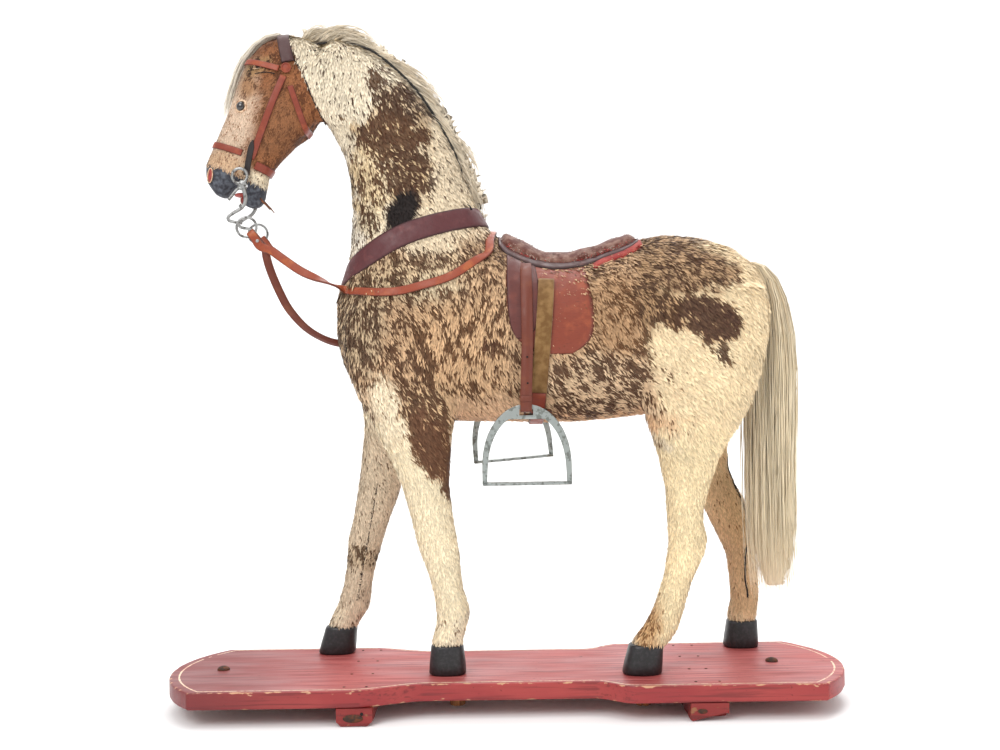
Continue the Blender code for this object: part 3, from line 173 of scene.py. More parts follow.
class Look(Tree):
    """A Principled material built node by node."""

    def __init__(self, name: str, roughness: float, metallic: float = 0.0, **more: float) -> None:
        """Start a material.

        Args:
            name: what it is made of.
            roughness: the shader's roughness.
            metallic: 1 for bare metal.
            **more: other shader inputs, spaces written as underscores.
        """
        self.material = bpy.data.materials.new(name)
        self.material.use_nodes = True
        super().__init__(self.material.node_tree)
        self.shader = self.tree.nodes["Principled BSDF"]
        self.set("Roughness", roughness)
        self.set("Metallic", metallic)
        for key, value in more.items():
            self.set(key.replace("_", " "), value)

    def set(self, name: str, value: object) -> None:
        """Give a shader input a value or link."""
        if isinstance(value, bpy.types.NodeSocket):
            self.tree.links.new(value, self.shader.inputs[name])
        else:
            self.shader.inputs[name].default_value = value

    def place(self, stretch: Station = (1, 1, 1)) -> bpy.types.NodeSocket:
        """The piece's own coordinates in millimetres, pressed together along each axis.

        Args:
            stretch: how many times longer a pattern runs along x, y and z.
        Returns:
            The vector socket.
        """
        own = self.add("ShaderNodeTexCoord").outputs["Object"]
        scale = tuple(1000 / s for s in stretch)
        return self.add("ShaderNodeMapping", {"Vector": own, "Scale": scale}).outputs[0]

    def strap_place(self, stretch: Station = (1, 1, 1)) -> bpy.types.NodeSocket:
        """The strap's flat coordinates in millimetres, across and along."""
        own = self.add("ShaderNodeUVMap", uv_map="flat").outputs[0]
        scale = tuple(1000 / s for s in stretch)
        return self.add("ShaderNodeMapping", {"Vector": own, "Scale": scale}).outputs[0]

    def cloud(self, where: bpy.types.NodeSocket, size: float, detail: float = 2.0) -> bpy.types.NodeSocket:
        """Soft noise with blotches of about that many millimetres."""
        node = self.add("ShaderNodeTexNoise", {"Vector": where, "Scale": 1 / size, "Detail": detail})
        return node.outputs[0]

    def attribute(self, name: str, output: str = "Fac") -> bpy.types.NodeSocket:
        """A value kept on the mesh."""
        return self.add("ShaderNodeAttribute", attribute_name=name).outputs[output]

    def step(
        self, value: object, low: float, high: float, start: float = 0, end: float = 1
    ) -> bpy.types.NodeSocket:
        """A smooth change from start at low to end at high."""
        node = self.add(
            "ShaderNodeMapRange",
            {0: value, 1: low, 2: high, 3: start, 4: end},
            interpolation_type="SMOOTHSTEP",
        )
        return node.outputs[0]

    def mix(self, share: object, a: object, b: object, kind: str = "MIX") -> bpy.types.NodeSocket:
        """One colour over another.

        Args:
            share: how much of b shows.
            a: the first colour, a hex code or a socket.
            b: the second one.
            kind: how the two are blended.
        Returns:
            The colour socket.
        """
        a = linear(a) if isinstance(a, str) else a
        b = linear(b) if isinstance(b, str) else b
        node = self.add("ShaderNodeMix", {0: share, 6: a, 7: b}, data_type="RGBA", blend_type=kind)
        return node.outputs[2]

    def bump(self, height: bpy.types.NodeSocket, depth_mm: float, strength: float = 1.0) -> None:
        """Raise and sink the surface by that many millimetres."""
        made = self.add("ShaderNodeBump", {"Height": height, "Distance": depth_mm * MM, "Strength": strength})
        self.set("Normal", made.outputs[0])


@dataclass(frozen=True)
class Leather:
    """Vegetable-tanned strap leather: rubbed darker at the cut edges, with fine grain and creases."""

    name: str
    colour: str
    worn: str
    edge: str
    roughness: float = 0.46

    def build(self) -> bpy.types.Material:
        """The material, which reads the strap's flat coordinates."""
        look = Look(self.name, self.roughness, Specular_IOR_Level=0.42, Coat_Weight=0.08, Coat_Roughness=0.4)
        where = look.place()
        flat = look.strap_place((1, 1, 1))
        # Handling rubs the dye off in soft blotches.
        pale_share = look.step(look.cloud(where, 14, 4), 0.5, 0.74, 0.0, 0.75)
        colour = look.mix(pale_share, self.colour, self.worn)
        # Long creases run across the strap where it has been bent.
        crease = look.cloud(look.strap_place((6, 0.8, 1)), 1.2, 3)
        colour = look.mix(look.step(crease, 0.56, 0.72, 0.0, 0.42), colour, self.edge)
        # Burnished cut edges are darkest.
        rim = look.step(look.attribute("rim"), 0.25, 0.9, 0.0, 0.7)
        colour = look.mix(rim, colour, self.edge)
        look.set("Base Color", colour)
        sheen = look.step(look.cloud(where, 9, 3), 0.3, 0.7, self.roughness - 0.08, self.roughness + 0.16)
        look.set("Roughness", sheen)
        grain = look.add("ShaderNodeTexVoronoi", {"Vector": flat, "Scale": 1 / 0.7}).outputs[0]
        height = look.math("ADD", look.math("MULTIPLY", grain, 0.3), look.math("MULTIPLY", crease, 1.0))
        look.bump(height, 0.25, 0.55)
        return look.material


@dataclass(frozen=True)
class PaintedWood:
    """Oil paint on sawn pine, worn through so that pale grain shows along the plank."""

    name: str
    paint: str
    thin: str
    dirt: str
    wood: str = "#B98A62"
    wear: float = 0.5
    top_light: str = ""
    end_dark: float = 0.0

    def build(self) -> bpy.types.Material:
        """The material, its grain running along x."""
        look = Look(self.name, 0.5, Specular_IOR_Level=0.45)
        grain = look.cloud(look.place((38, 1.3, 1.3)), 2.2, 6)
        broad = look.cloud(look.place((3, 1, 1)), 34, 4)
        scuff = look.cloud(look.place((2.2, 1, 1)), 5.5, 6)
        colour = look.mix(look.step(broad, 0.38, 0.66, 0.0, 0.6), self.paint, self.thin)
        # The paint has sunk into the open grain and shows as darker lines.
        colour = look.mix(look.step(grain, 0.5, 0.66, 0.0, 0.5), colour, self.dirt)
        if self.top_light:
            # The top face is drawn paler and pinkish along the grain: partly wear where it is stood on,
            # partly painted light from above.
            up = look.add("ShaderNodeSeparateXYZ", {0: look.add("ShaderNodeNewGeometry").outputs["Normal"]})
            top = look.step(up.outputs[2], 0.5, 0.9)
            pale_share = look.math("MULTIPLY", top, look.step(grain, 0.3, 0.64, 0.85, 0.12))
            colour = look.mix(pale_share, colour, self.top_light)
        if self.end_dark:
            # The paint is drawn darker towards the board's front end.
            x = look.add("ShaderNodeSeparateXYZ", {0: look.place()}).outputs[0]
            colour = look.mix(look.step(x, -150, -330, 0.0, self.end_dark), colour, self.dirt)
        # Bare wood shows where corners and edges are knocked.
        edge = look.attribute("rim")
        worn = look.math("ADD", scuff, look.math("MULTIPLY", edge, 0.24))
        colour = look.mix(look.step(worn, 1.02 - 0.5 * self.wear, 1.08 - 0.5 * self.wear), colour, self.wood)
        spots = look.cloud(look.place((1.5, 1, 1)), 3.2, 5)
        colour = look.mix(look.step(spots, 0.66, 0.72, 0.0, 0.65), colour, self.dirt)
        look.set("Base Color", colour)
        look.set("Roughness", look.step(broad, 0.3, 0.7, 0.4, 0.62))
        look.bump(look.math("ADD", grain, look.math("MULTIPLY", scuff, 0.6)), 0.35, 0.5)
        return look.material


@dataclass(frozen=True)
class BareWood:
    """Turned, unpainted wood darkened by handling and dust."""

    name: str
    colour: str
    dark: str
    along: Station = (1, 1, 14)

    def build(self) -> bpy.types.Material:
        """The material, its grain along the long axis."""
        look = Look(self.name, 0.7, Specular_IOR_Level=0.3)
        grain = look.cloud(look.place(self.along), 1.6, 5)
        colour = look.mix(look.step(grain, 0.35, 0.68), self.colour, self.dark)
        look.set("Base Color", colour)
        look.bump(grain, 0.3, 0.6)
        return look.material


@dataclass(frozen=True)
class Metal:
    """Cast or drawn metal dulled by handling, with darker oxide in blotches and fine pits."""

    name: str
    colour: str
    oxide: str
    roughness: float = 0.42
    oxide_low: float = 0.52
    pits: float = 0.25

    def build(self) -> bpy.types.Material:
        """The material."""
        look = Look(self.name, self.roughness, 1.0)
        where = look.place()
        blotch = look.cloud(where, 4.5, 6)
        share = look.step(blotch, self.oxide_low, self.oxide_low + 0.16)
        look.set("Base Color", look.mix(share, self.colour, self.oxide))
        look.set("Metallic", look.step(share, 0.3, 1.0, 1.0, 0.45))
        look.set("Roughness", look.step(share, 0.0, 1.0, self.roughness, self.roughness + 0.25))
        look.bump(look.cloud(where, 1.1, 4), self.pits, 0.6)
        return look.material


@dataclass(frozen=True)
class Hairs:
    """Hide or horsehair: each lock has its own tone and is darker at the root.

    The mesh brings the local pale and dark colours, so that one material serves the patches.
    """

    name: str
    root: float = 0.7
    roughness: float = 0.62
    solid: bool = False

    def build(self) -> bpy.types.Material:
        """The material for tufts, or for the skin under them when solid."""
        look = Look(self.name, self.roughness, Specular_IOR_Level=0.22, Sheen_Weight=0.05)
        pale = look.attribute("pale", "Color")
        dark = look.attribute("dark", "Color")
        if self.solid:
            where = look.place()
            fine = look.cloud(where, 2.6, 4)
            speckle = look.math("MULTIPLY", look.math("SUBTRACT", fine, 0.5), 1.1)
            share = look.math("ADD", look.attribute("brown"), speckle)
            colour = look.mix(look.step(share, 0.25, 0.75), pale, dark)
            # Painted shade between the tufts: the skin is darkened with dark brown where its fine relief is
            # low.
            colour = look.mix(look.step(fine, 0.3, 0.7, 0.16, 0.0), colour, "#4A2F1C")
            slate = look.mix(look.step(look.cloud(where, 5, 4), 0.35, 0.7), "#34343A", "#5C6068")
            colour = look.mix(look.attribute("slate"), colour, slate)
            look.bump(fine, 0.5, 0.6)
        else:
            colour = look.mix(look.attribute("tone"), pale, dark)
            # Light catches the raised tips and leaves the roots in shade.
            tip = look.step(look.attribute("tip"), 0.0, 0.85, self.root, 1.0)
            shade = look.step(look.attribute("shade"), 0.0, 1.0, 0.78, 1.14)
            grey = look.add("ShaderNodeCombineColor", {0: tip, 1: tip, 2: tip}).outputs[0]
            warm = look.add("ShaderNodeCombineColor", {0: shade, 1: shade, 2: shade}).outputs[0]
            colour = look.mix(1.0, look.mix(1.0, colour, grey, "MULTIPLY"), warm, "MULTIPLY")
        look.set("Base Color", colour)
        return look.material


@dataclass(frozen=True)
class Cloth:
    """Woven or piled cloth with thread relief, painted shade in the relief's hollows and dust-faded blotches.
    """

    name: str
    colour: str
    faded: str
    thread: float = 0.9
    ribs: bool = False

    def build(self) -> bpy.types.Material:
        """The material."""
        look = Look(self.name, 0.88, Specular_IOR_Level=0.15, Sheen_Weight=0.2)
        where = look.strap_place() if self.ribs else look.place()
        blotch = look.cloud(look.place(), 8, 4)
        colour = look.mix(look.step(blotch, 0.36, 0.66), self.colour, self.faded)
        wave = look.add(
            "ShaderNodeTexWave",
            {"Vector": where, "Scale": 1 / self.thread / 3.14, "Distortion": 1.5, "Detail": 2.0},
            bands_direction="X",
        ).outputs[1]
        fine = look.cloud(where, self.thread, 2)
        height = look.math("ADD", look.math("MULTIPLY", wave, 0.6), fine) if self.ribs else fine
        # Painted shade in the hollows: the cloth is darkened with dark brown where its thread relief is low.
        colour = look.mix(look.step(height, 0.3, 0.8, 0.35, 0.0), colour, "#3A2416")
        look.set("Base Color", colour)
        look.bump(height, 0.3, 0.7)
        return look.material


@dataclass(frozen=True)
class Flat:
    """A small plain part: glass, enamel or brushed paint of one colour."""

    name: str
    colour: str
    roughness: float
    coat: float = 0.0
    mottle: str = ""
    metallic: float = 0.0

    def build(self) -> bpy.types.Material:
        """The material."""
        look = Look(self.name, self.roughness, self.metallic, Coat_Weight=self.coat, Coat_Roughness=0.08)
        if self.mottle:
            blotch = look.step(look.cloud(look.place(), 3.5, 5), 0.42, 0.68)
            look.set("Base Color", look.mix(blotch, self.colour, self.mottle))
            look.bump(look.cloud(look.place(), 1.4, 4), 0.3, 0.6)
        else:
            look.set("Base Color", linear(self.colour))
        return look.material


class Kit(Enum):
    """Every finish on the toy, by what it covers."""

    # The board's top face is drawn paler and pinkish, partly painted light from above.
    BOARD = PaintedWood(
        "worn red paint on pine", "#8E2A2B", "#A8443F", "#4E1416", "#C09070", 0.5, "#BC6C69", 0.6
    )
    BATTEN = PaintedWood("dark red painted batten", "#7C1F1D", "#92302B", "#3E110F", "#8A5A3A", 0.45)
    PEG = BareWood("handled birch peg", "#B07A4C", "#6E4327")
    STRIPE = Flat("cream lining paint", "#E6CFB4", 0.6, mottle="#C88A7C")
    IRON = Flat("rusted iron", "#3A2A22", 0.7, mottle="#6B3A20", metallic=0.4)
    HOOF = Flat("black painted wood", "#121112", 0.4, mottle="#252124")
    TAN = Leather("orange tan leather", "#86371A", "#A35527", "#4C1D0E")
    TAN_RED = Leather("reddish tan leather", "#7A2F1A", "#98482A", "#42180F")
    FLAP = Leather("tan flap leather", "#78301A", "#914526", "#4A1D10")
    # The flap leather drawn darker for the front panel: painted shade.
    FLAP_FRONT = Leather("dark flap leather", "#54211A", "#692E22", "#2C100D")
    BROWN = Leather("dark brown leather", "#3E1D1B", "#5F332C", "#1E0D0C")
    BURGUNDY = Leather("burgundy leather", "#4E1D20", "#6A3634", "#2A0E11", 0.5)
    BLACK = Leather("black leather", "#1F1614", "#3A2C26", "#0E0A09")
    PLUSH = Cloth("worn red plush", "#5E332C", "#8C6C60", 1.2)
    LINING = Cloth("red wool lining", "#8E2724", "#A8443C", 1.0)
    WEBBING = Cloth("khaki webbing", "#6E4F2C", "#8A6A42", 0.8, True)
    STIRRUP = Metal("dull cast nickel", "#9DA29F", "#6C6F6A", 0.4, 0.5, 0.3)
    BIT = Metal("tarnished bit steel", "#9A9A98", "#4E4A46", 0.36, 0.5, 0.2)
    RUST = Flat("rusty wire", "#5A3420", 0.75, mottle="#8A5230", metallic=0.3)
    SKIN = Hairs("hide under the coat", solid=True, roughness=0.8)
    COAT = Hairs("short hide hair")
    MANE = Hairs("pale horsehair", 0.8, 0.5)
    GLASS = Flat("dark brown glass eye", "#150C08", 0.06, 1.0)
    LID = Flat("pale lid leather", "#D8B898", 0.6, mottle="#8A5A3C")
    ENAMEL = Flat("white enamel", "#E9E2D6", 0.4)
    RED = Flat("red lip paint", "#9C3B32", 0.5, mottle="#7A2A26")
    THREAD = Flat("black waxed thread", "#17110F", 0.7)
    # Holes are drawn as near-black discs: painted shade where no light reaches inside.
    PIT = Flat("dark torn hide", "#120B09", 0.9)
    FLOOR = Flat("pale studio floor", "#F7F7F7", 0.9)

    @property
    def material(self) -> bpy.types.Material:
        """The built material, made once."""
        found = bpy.data.materials.get(self.value.name)
        return found or self.value.build()


class Solid:
    """Collects vertices and faces and turns them into one mesh object."""

    def __init__(self, name: str) -> None:
        """Start an empty mesh with that name."""
        self.name = name
        self.verts: list[Vector] = []
        self.faces: list[tuple[int, ...]] = []
        self.flat: list[tuple[float, float]] = []
        self.rim: list[float] = []

    def put(self, place: Vector, across: float = 0.0, along: float = 0.0, rim: float = 0.0) -> int:
        """Add a vertex with its flat coordinates in metres; returns its number."""
        self.verts.append(place)
        self.flat.append((across, along))
        self.rim.append(rim)
        return len(self.verts) - 1

    def loops(self, rings: Sequence[Sequence[int]], closed: bool = False, capped: bool = True) -> None:
        """Join equal rings of vertices with quads.

        Args:
            rings: vertex numbers of each ring.
            closed: join the last ring to the first.
            capped: close both ends with one face.
        """
        size = len(rings[0])
        pairs = list(zip(rings, rings[1:])) + ([(rings[-1], rings[0])] if closed else [])
        for a, b in pairs:
            for j in range(size):
                k = (j + 1) % size
                self.faces.append((a[j], a[k], b[k], b[j]))
        if capped and not closed:
            self.faces.append(tuple(rings[0])[::-1])
            self.faces.append(tuple(rings[-1]))

    def done(self, finish: Kit, smooth: bool = True) -> bpy.types.Object:
        """The finished object.

        Args:
            finish: its material.
            smooth: shade it smooth.
        Returns:
            The object, linked and at the origin.
        """
        mesh = bpy.data.meshes.new(self.name)
        mesh.from_pydata([tuple(v) for v in self.verts], [], self.faces)
        layer = mesh.uv_layers.new(name="flat")
        corners = np.empty(len(mesh.loops), dtype=np.int32)
        mesh.loops.foreach_get("vertex_index", corners)
        layer.data.foreach_set("uv", np.array(self.flat, dtype=np.float32)[corners].ravel())
        mesh.attributes.new("rim", "FLOAT", "POINT").data.foreach_set("value", self.rim)
        bm = bmesh.new()
        bm.from_mesh(mesh)
        bmesh.ops.recalc_face_normals(bm, faces=bm.faces)
        for face in bm.faces:
            face.smooth = smooth
        bm.to_mesh(mesh)
        bm.free()
        mesh.materials.append(finish.material)
        return link(self.name, mesh)


def link(name: str, mesh: bpy.types.Mesh) -> bpy.types.Object:
    """A new object of that mesh in the scene."""
    obj = bpy.data.objects.new(name, mesh)
    bpy.context.scene.collection.objects.link(obj)
    return obj


def bake(obj: bpy.types.Object) -> bpy.types.Object:
    """Keep the result of the object's modifiers as its mesh and remove them.

    Args:
        obj: the object.
    Returns:
        The same object.
    """
    graph = bpy.context.evaluated_depsgraph_get()
    made = obj.evaluated_get(graph)
    mesh = bpy.data.meshes.new_from_object(made, preserve_all_data_layers=True, depsgraph=graph)
    obj.modifiers.clear()
    old = obj.data
    obj.data = mesh
    mesh.name = obj.name
    bpy.data.meshes.remove(old)
    return obj


def modify(obj: bpy.types.Object, kind: str, **settings: object) -> bpy.types.Object:
    """Apply one modifier."""
    modifier = obj.modifiers.new(kind, kind)
    for key, value in settings.items():
        setattr(modifier, key, value)
    return bake(obj)


def remove(obj: bpy.types.Object) -> None:
    """Take a helper object away."""
    mesh = obj.data
    bpy.data.objects.remove(obj, do_unlink=True)
    bpy.data.meshes.remove(mesh)


def joined(name: str, parts: Sequence[bpy.types.Object]) -> bpy.types.Object:
    """Make several meshes one object, each keeping its own material.

    Args:
        name: the new object's name.
        parts: the objects, the first of which receives the rest.
    Returns:
        The one object.
    """
    first = parts[0]
    with bpy.context.temp_override(active_object=first, object=first, selected_editable_objects=list(parts)):
        bpy.ops.object.join()
    first.name = name
    first.data.name = name
    return first


def keep(obj: bpy.types.Object, slot: str, *nodes: str) -> bpy.types.Object:
    """Fix a finished piece to the toy.

    Args:
        obj: the piece, in place.
        slot: not used.
        *nodes: the plain nodes that it stands for.
    Returns:
        The piece.
    """
    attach(obj, "root")
    if nodes:
        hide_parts(*nodes)
    return obj


class Surface:
    """A surface asked with rays."""

    def __init__(self, *objects: bpy.types.Object) -> None:
        """Keep a search tree for each object."""
        graph = bpy.context.evaluated_depsgraph_get()
        self.trees = [BVHTree.FromObject(obj, graph) for obj in objects]

    def hit(self, start: Vector, way: Vector, reach: float = 1.0) -> Optional[Vector]:
        """Where a ray first meets the surface.

        Args:
            start: the ray's start.
            way: its direction.
            reach: its length.
        Returns:
            The place, or None.
        """
        found = [tree.ray_cast(start, way, reach) for tree in self.trees]
        met = [(far, place) for place, _, _, far in found if place is not None]
        return min(met, key=lambda pair: pair[0])[1] if met else None

    def normal(self, place: Vector) -> Vector:
        """The outward direction at the nearest surface point."""
        found = [tree.find_nearest(place) for tree in self.trees]
        return min(found, key=lambda hit: hit[3])[1]

    def side(self, x: float, z: float, side: int = NEAR) -> Optional[Vector]:
        """The surface at a station seen from one side, x and z in millimetres."""
        start = fig(x, side * 300, z)
        return self.hit(start, Vector((0, -side, 0)))

    def around(self, middle: Vector, way: Vector, reach: float = 0.2) -> Vector:
        """The surface met from outside towards a middle point."""
        return self.hit(middle + way * reach, -way, reach) or middle + way * reach * 0.3


def side_path(surface: Surface, points: Sequence[Station], side: int, step: float = 2.5) -> Path:
    """A path along one side of the body.

    Args:
        surface: what it lies on.
        points: x and z in millimetres.
        side: near or far.
        step: how far apart its points are, in millimetres.
    Returns:
        Places with their outward directions.
    """
    path = []
    for p in spread([(x, 0.0, z) for x, z in points], step):
        place = surface.side(p.x, p.z, side)
        if place is not None:
            path.append((place, surface.normal(place)))
    return path


def hoop_path(
    surface: Surface,
    middle: Vector,
    ahead: Vector,
    start: float,
    end: float,
    count: int,
    reach: float = 0.055,
) -> Path:
    """A path round the head, from 0 degrees on the near side through 90 towards ahead.

    Args:
        surface: what it lies on.
        middle: the middle of the turn.
        ahead: the direction at 90 degrees.
        start: first angle.
        end: last angle.
        count: how many points.
        reach: how far out the surface is looked for, in metres.
    Returns:
        Places with their outward directions.
    """
    path = []
    for k in range(count):
        angle = math.radians(start + (end - start) * k / (count - 1))
        way = Vector((0, -1, 0)) * math.cos(angle) + ahead * math.sin(angle)
        path.append((surface.around(middle, way, reach), way))
    return path


def plane_way(x0: float, z0: float, x1: float, z1: float) -> Vector:
    """The direction in the side view from one station to another."""
    return (fig(x1, 0, z1) - fig(x0, 0, z0)).normalized()


def softened(points: Sequence[Vector], passes: int, closed: bool = False) -> list[Vector]:
    """The points with small steps evened out, the ends kept."""
    line = [p.copy() for p in points]
    total = len(line)
    for _ in range(passes):
        old = [p.copy() for p in line]
        for i in range(total):
            if closed or 0 < i < total - 1:
                line[i] = old[i] * 0.5 + (old[(i - 1) % total] + old[(i + 1) % total]) * 0.25
    return line


# The upper side of a flat strap: share of the half-width and of the thickness, edge rubbing.
STRAP_SECTION = (
    (-0.93, 0.0, 1.0),
    (-1.0, 0.3, 1.0),
    (-1.0, 0.62, 1.0),
    (-0.93, 0.9, 0.8),
    (-0.8, 1.0, 0.35),
    (-0.4, 1.03, 0.0),
    (0.0, 1.04, 0.0),
    (0.4, 1.03, 0.0),
    (0.8, 1.0, 0.35),
    (0.93, 0.9, 0.8),
    (1.0, 0.62, 1.0),
    (1.0, 0.3, 1.0),
    (0.93, 0.0, 1.0),
)


@dataclass
class Strap:
    """A flat leather or cloth band with rounded edges, laid along a path."""

    name: str
    width: float
    thick: float
    finish: Kit
    lift: float = 0.0
    closed: bool = False
    point_start: float = 0.0
    wobble: float = 0.0

    def lay(self, surface: Optional[Surface], path: Path) -> bpy.types.Object:
        """Build it on a surface, each edge following the surface by itself.

        Args:
            surface: what both edges rest on, or None to run free.
            path: its middle line with outward directions.
        Returns:
            The object.
        """
        count = len(path)
        edges: dict[int, list[Vector]] = {-1: [], 1: []}
        ups = []
        for i, (place, way) in enumerate(path):
            before = path[(i - 1) % count][0] if self.closed or i else path[0][0]
            after = path[(i + 1) % count][0] if self.closed or i < count - 1 else path[-1][0]
            along = (after - before).normalized()
            across = along.cross(way).normalized()
            up = across.cross(along).normalized()
            up = -up if up.dot(way) < 0 else up
            ups.append(up)
            for side in (-1, 1):
                edge = place + across * side * self.width / 2
                found = surface.hit(edge + up * 0.03, -up, 0.06) if surface else None
                if found is not None and (found - edge).length < 0.012:
                    edge = found
                edges[side].append(edge)
        lefts = softened(edges[-1], 3, self.closed)
        rights = softened(edges[1], 3, self.closed)
        ups = softened(ups, 2, self.closed)
        return self.sweep(lefts, rights, ups)

    def sweep(self, lefts: list[Vector], rights: list[Vector], ups: list[Vector]) -> bpy.types.Object:
        """Build it between two edge lines.

        Args:
            lefts: one edge of the underside.
            rights: the other edge.
            ups: outward directions.
        Returns:
            The object.
        """
        solid = Solid(self.name)
        rings = []
        length = 0.0
        middles = [(a + b) / 2 for a, b in zip(lefts, rights)]
        for i, (left, right, up) in enumerate(zip(lefts, rights, ups)):
            if i:
                length += (middles[i] - middles[i - 1]).length
            middle = middles[i]
            half = (right - left) / 2
            narrow = 1.0
            if self.point_start:
                narrow = min(narrow, 0.12 + 0.88 * math.sqrt(min(length / self.point_start, 1.0)))
            up = up.normalized()
            wave = self.wobble * noise.noise(Vector((length * 60, 3.7, len(self.name))))
            ring = []
            for across, rise, rim in STRAP_SECTION:
                place = middle + half * across * narrow + up * (self.lift + self.thick * rise + wave)
                ring.append(solid.put(place, across * half.length, length, rim))
            rings.append(ring)
        solid.loops(rings, self.closed)
        return solid.done(self.finish)

    def run(self, points: Sequence[Vector], acrosses: Sequence[Vector]) -> bpy.types.Object:
        """Build it through points, its width along the direction given for each.

        Args:
            points: the middle line of its thickness.
            acrosses: the width directions.
        Returns:
            The object.
        """
        lefts, rights, ups = [], [], []
        total = len(points)
        for i, place in enumerate(points):
            along = (points[min(i + 1, total - 1)] - points[max(i - 1, 0)]).normalized()
            side = (acrosses[i] - along * acrosses[i].dot(along)).normalized()
            up = side.cross(along)
            ups.append(up)
            lefts.append(place - side * self.width / 2 - up * self.thick / 2)
            rights.append(place + side * self.width / 2 - up * self.thick / 2)
        return self.sweep(lefts, rights, ups)


def tube(
    name: str,
    points: Sequence[Vector],
    radius: float | Sequence[float],
    finish: Kit,
    count: int = 10,
    closed: bool = False,
) -> bpy.types.Object:
    """A round rod or wire through points.

    Args:
        name: its name.
        points: the middle line.
        radius: one radius, or one for each point.
        finish: its material.
        count: sides of the section.
        closed: join the ends.
    Returns:
        The object.
    """
    solid = Solid(name)
    rings = []
    total = len(points)
    side: Optional[Vector] = None
    for i, place in enumerate(points):
        before = points[(i - 1) % total] if closed or i else points[0]
        after = points[(i + 1) % total] if closed or i < total - 1 else points[-1]
        along = (after - before).normalized()
        if side is None:
            side = along.cross(Vector((0, 1, 0)))
            side = along.cross(Vector((1, 0, 0))) if side.length < 0.1 else side
        side = (side - along * side.dot(along)).normalized()
        up = along.cross(side)
        size = radius[i] if isinstance(radius, (list, tuple)) else radius
        rings.append(
            [
                solid.put(place + (side * math.cos(a) + up * math.sin(a)) * size)
                for a in (2 * math.pi * k / count for k in range(count))
            ]
        )
    solid.loops(rings, closed)
    return solid.done(finish)


def circle(middle: Vector, axis_a: Vector, axis_b: Vector, count: int) -> list[Vector]:
    """Points on a circle or ellipse."""
    turns = [2 * math.pi * k / count for k in range(count)]
    return [middle + axis_a * math.cos(a) + axis_b * math.sin(a) for a in turns]


def blob(
    name: str, middle: Vector, sizes: Vector, finish: Kit, turn: Optional[Matrix] = None
) -> bpy.types.Object:
    """A rounded lump.

    Args:
        name: its name.
        middle: its middle.
        sizes: half-sizes along its own axes.
        finish: its material.
        turn: how it is turned.
    Returns:
        The object.
    """
    solid = Solid(name)
    rings = []
    steps = 12
    for k in range(steps + 1):
        angle = math.pi * k / steps
        out = max(math.sin(angle), 0.01)
        ring = []
        for j in range(18):
            a = 2 * math.pi * j / 18
            x, y = sizes.x * out * math.cos(a), sizes.y * out * math.sin(a)
            offset = Vector((x, y, sizes.z * math.cos(angle)))
            ring.append(solid.put(middle + (turn @ offset if turn else offset)))
        rings.append(ring)
    solid.loops(rings)
    return solid.done(finish)


class Group(Tree):
    """A geometry node tree with named inputs."""

    def __init__(self, name: str, inputs: dict[str, str]) -> None:
        """Start a tree.

        Args:
            name: its name.
            inputs: socket types by name.
        """
        super().__init__(bpy.data.node_groups.new(name, "GeometryNodeTree"))
        face = self.tree.interface
        face.new_socket("Geometry", in_out="INPUT", socket_type="NodeSocketGeometry")
        for key, kind in inputs.items():
            face.new_socket(key, in_out="INPUT", socket_type=kind)
        face.new_socket("Geometry", in_out="OUTPUT", socket_type="NodeSocketGeometry")
        self.start = self.add("NodeGroupInput").outputs

    def named(self, name: str, kind: str = "FLOAT") -> bpy.types.NodeSocket:
        """A value kept on the geometry."""
        node = self.add("GeometryNodeInputNamedAttribute", {"Name": name}, data_type=kind)
        return node.outputs[0]

    def random(self, low: float, high: float, seed: int) -> bpy.types.NodeSocket:
        """A random number for each point."""
        node = self.add("FunctionNodeRandomValue", {2: low, 3: high, "Seed": seed}, data_type="FLOAT")
        return node.outputs[1]

    def store(self, shape: object, name: str, value: object, domain: str = "POINT") -> bpy.types.NodeSocket:
        """Keep a number on the geometry under a name."""
        node = self.add(
            "GeometryNodeStoreNamedAttribute",
            {"Geometry": shape, "Name": name, "Value": value},
            data_type="FLOAT",
            domain=domain,
        )
        return node.outputs[0]

    def end(self, shape: bpy.types.NodeSocket) -> None:
        """Realize, dress and put out the geometry."""
        real = self.add("GeometryNodeRealizeInstances", {0: shape}).outputs[0]
        dressed = self.add("GeometryNodeSetMaterial", {"Geometry": real, "Material": self.start["Material"]})
        self.add("NodeGroupOutput", {0: dressed.outputs[0]})

    def grow(self, obj: bpy.types.Object, values: dict[str, object]) -> bpy.types.Object:
        """Run the tree on an object and keep the result as its mesh.

        Args:
            obj: the object whose mesh is used.
            values: the tree's inputs by name.
        Returns:
            The same object.
        """
        modifier = obj.modifiers.new("nodes", "NODES")
        modifier.node_group = self.tree
        for item in self.tree.interface.items_tree:
            if item.in_out == "INPUT" and item.name in values:
                modifier[item.identifier] = values[item.name]
        return bake(obj)


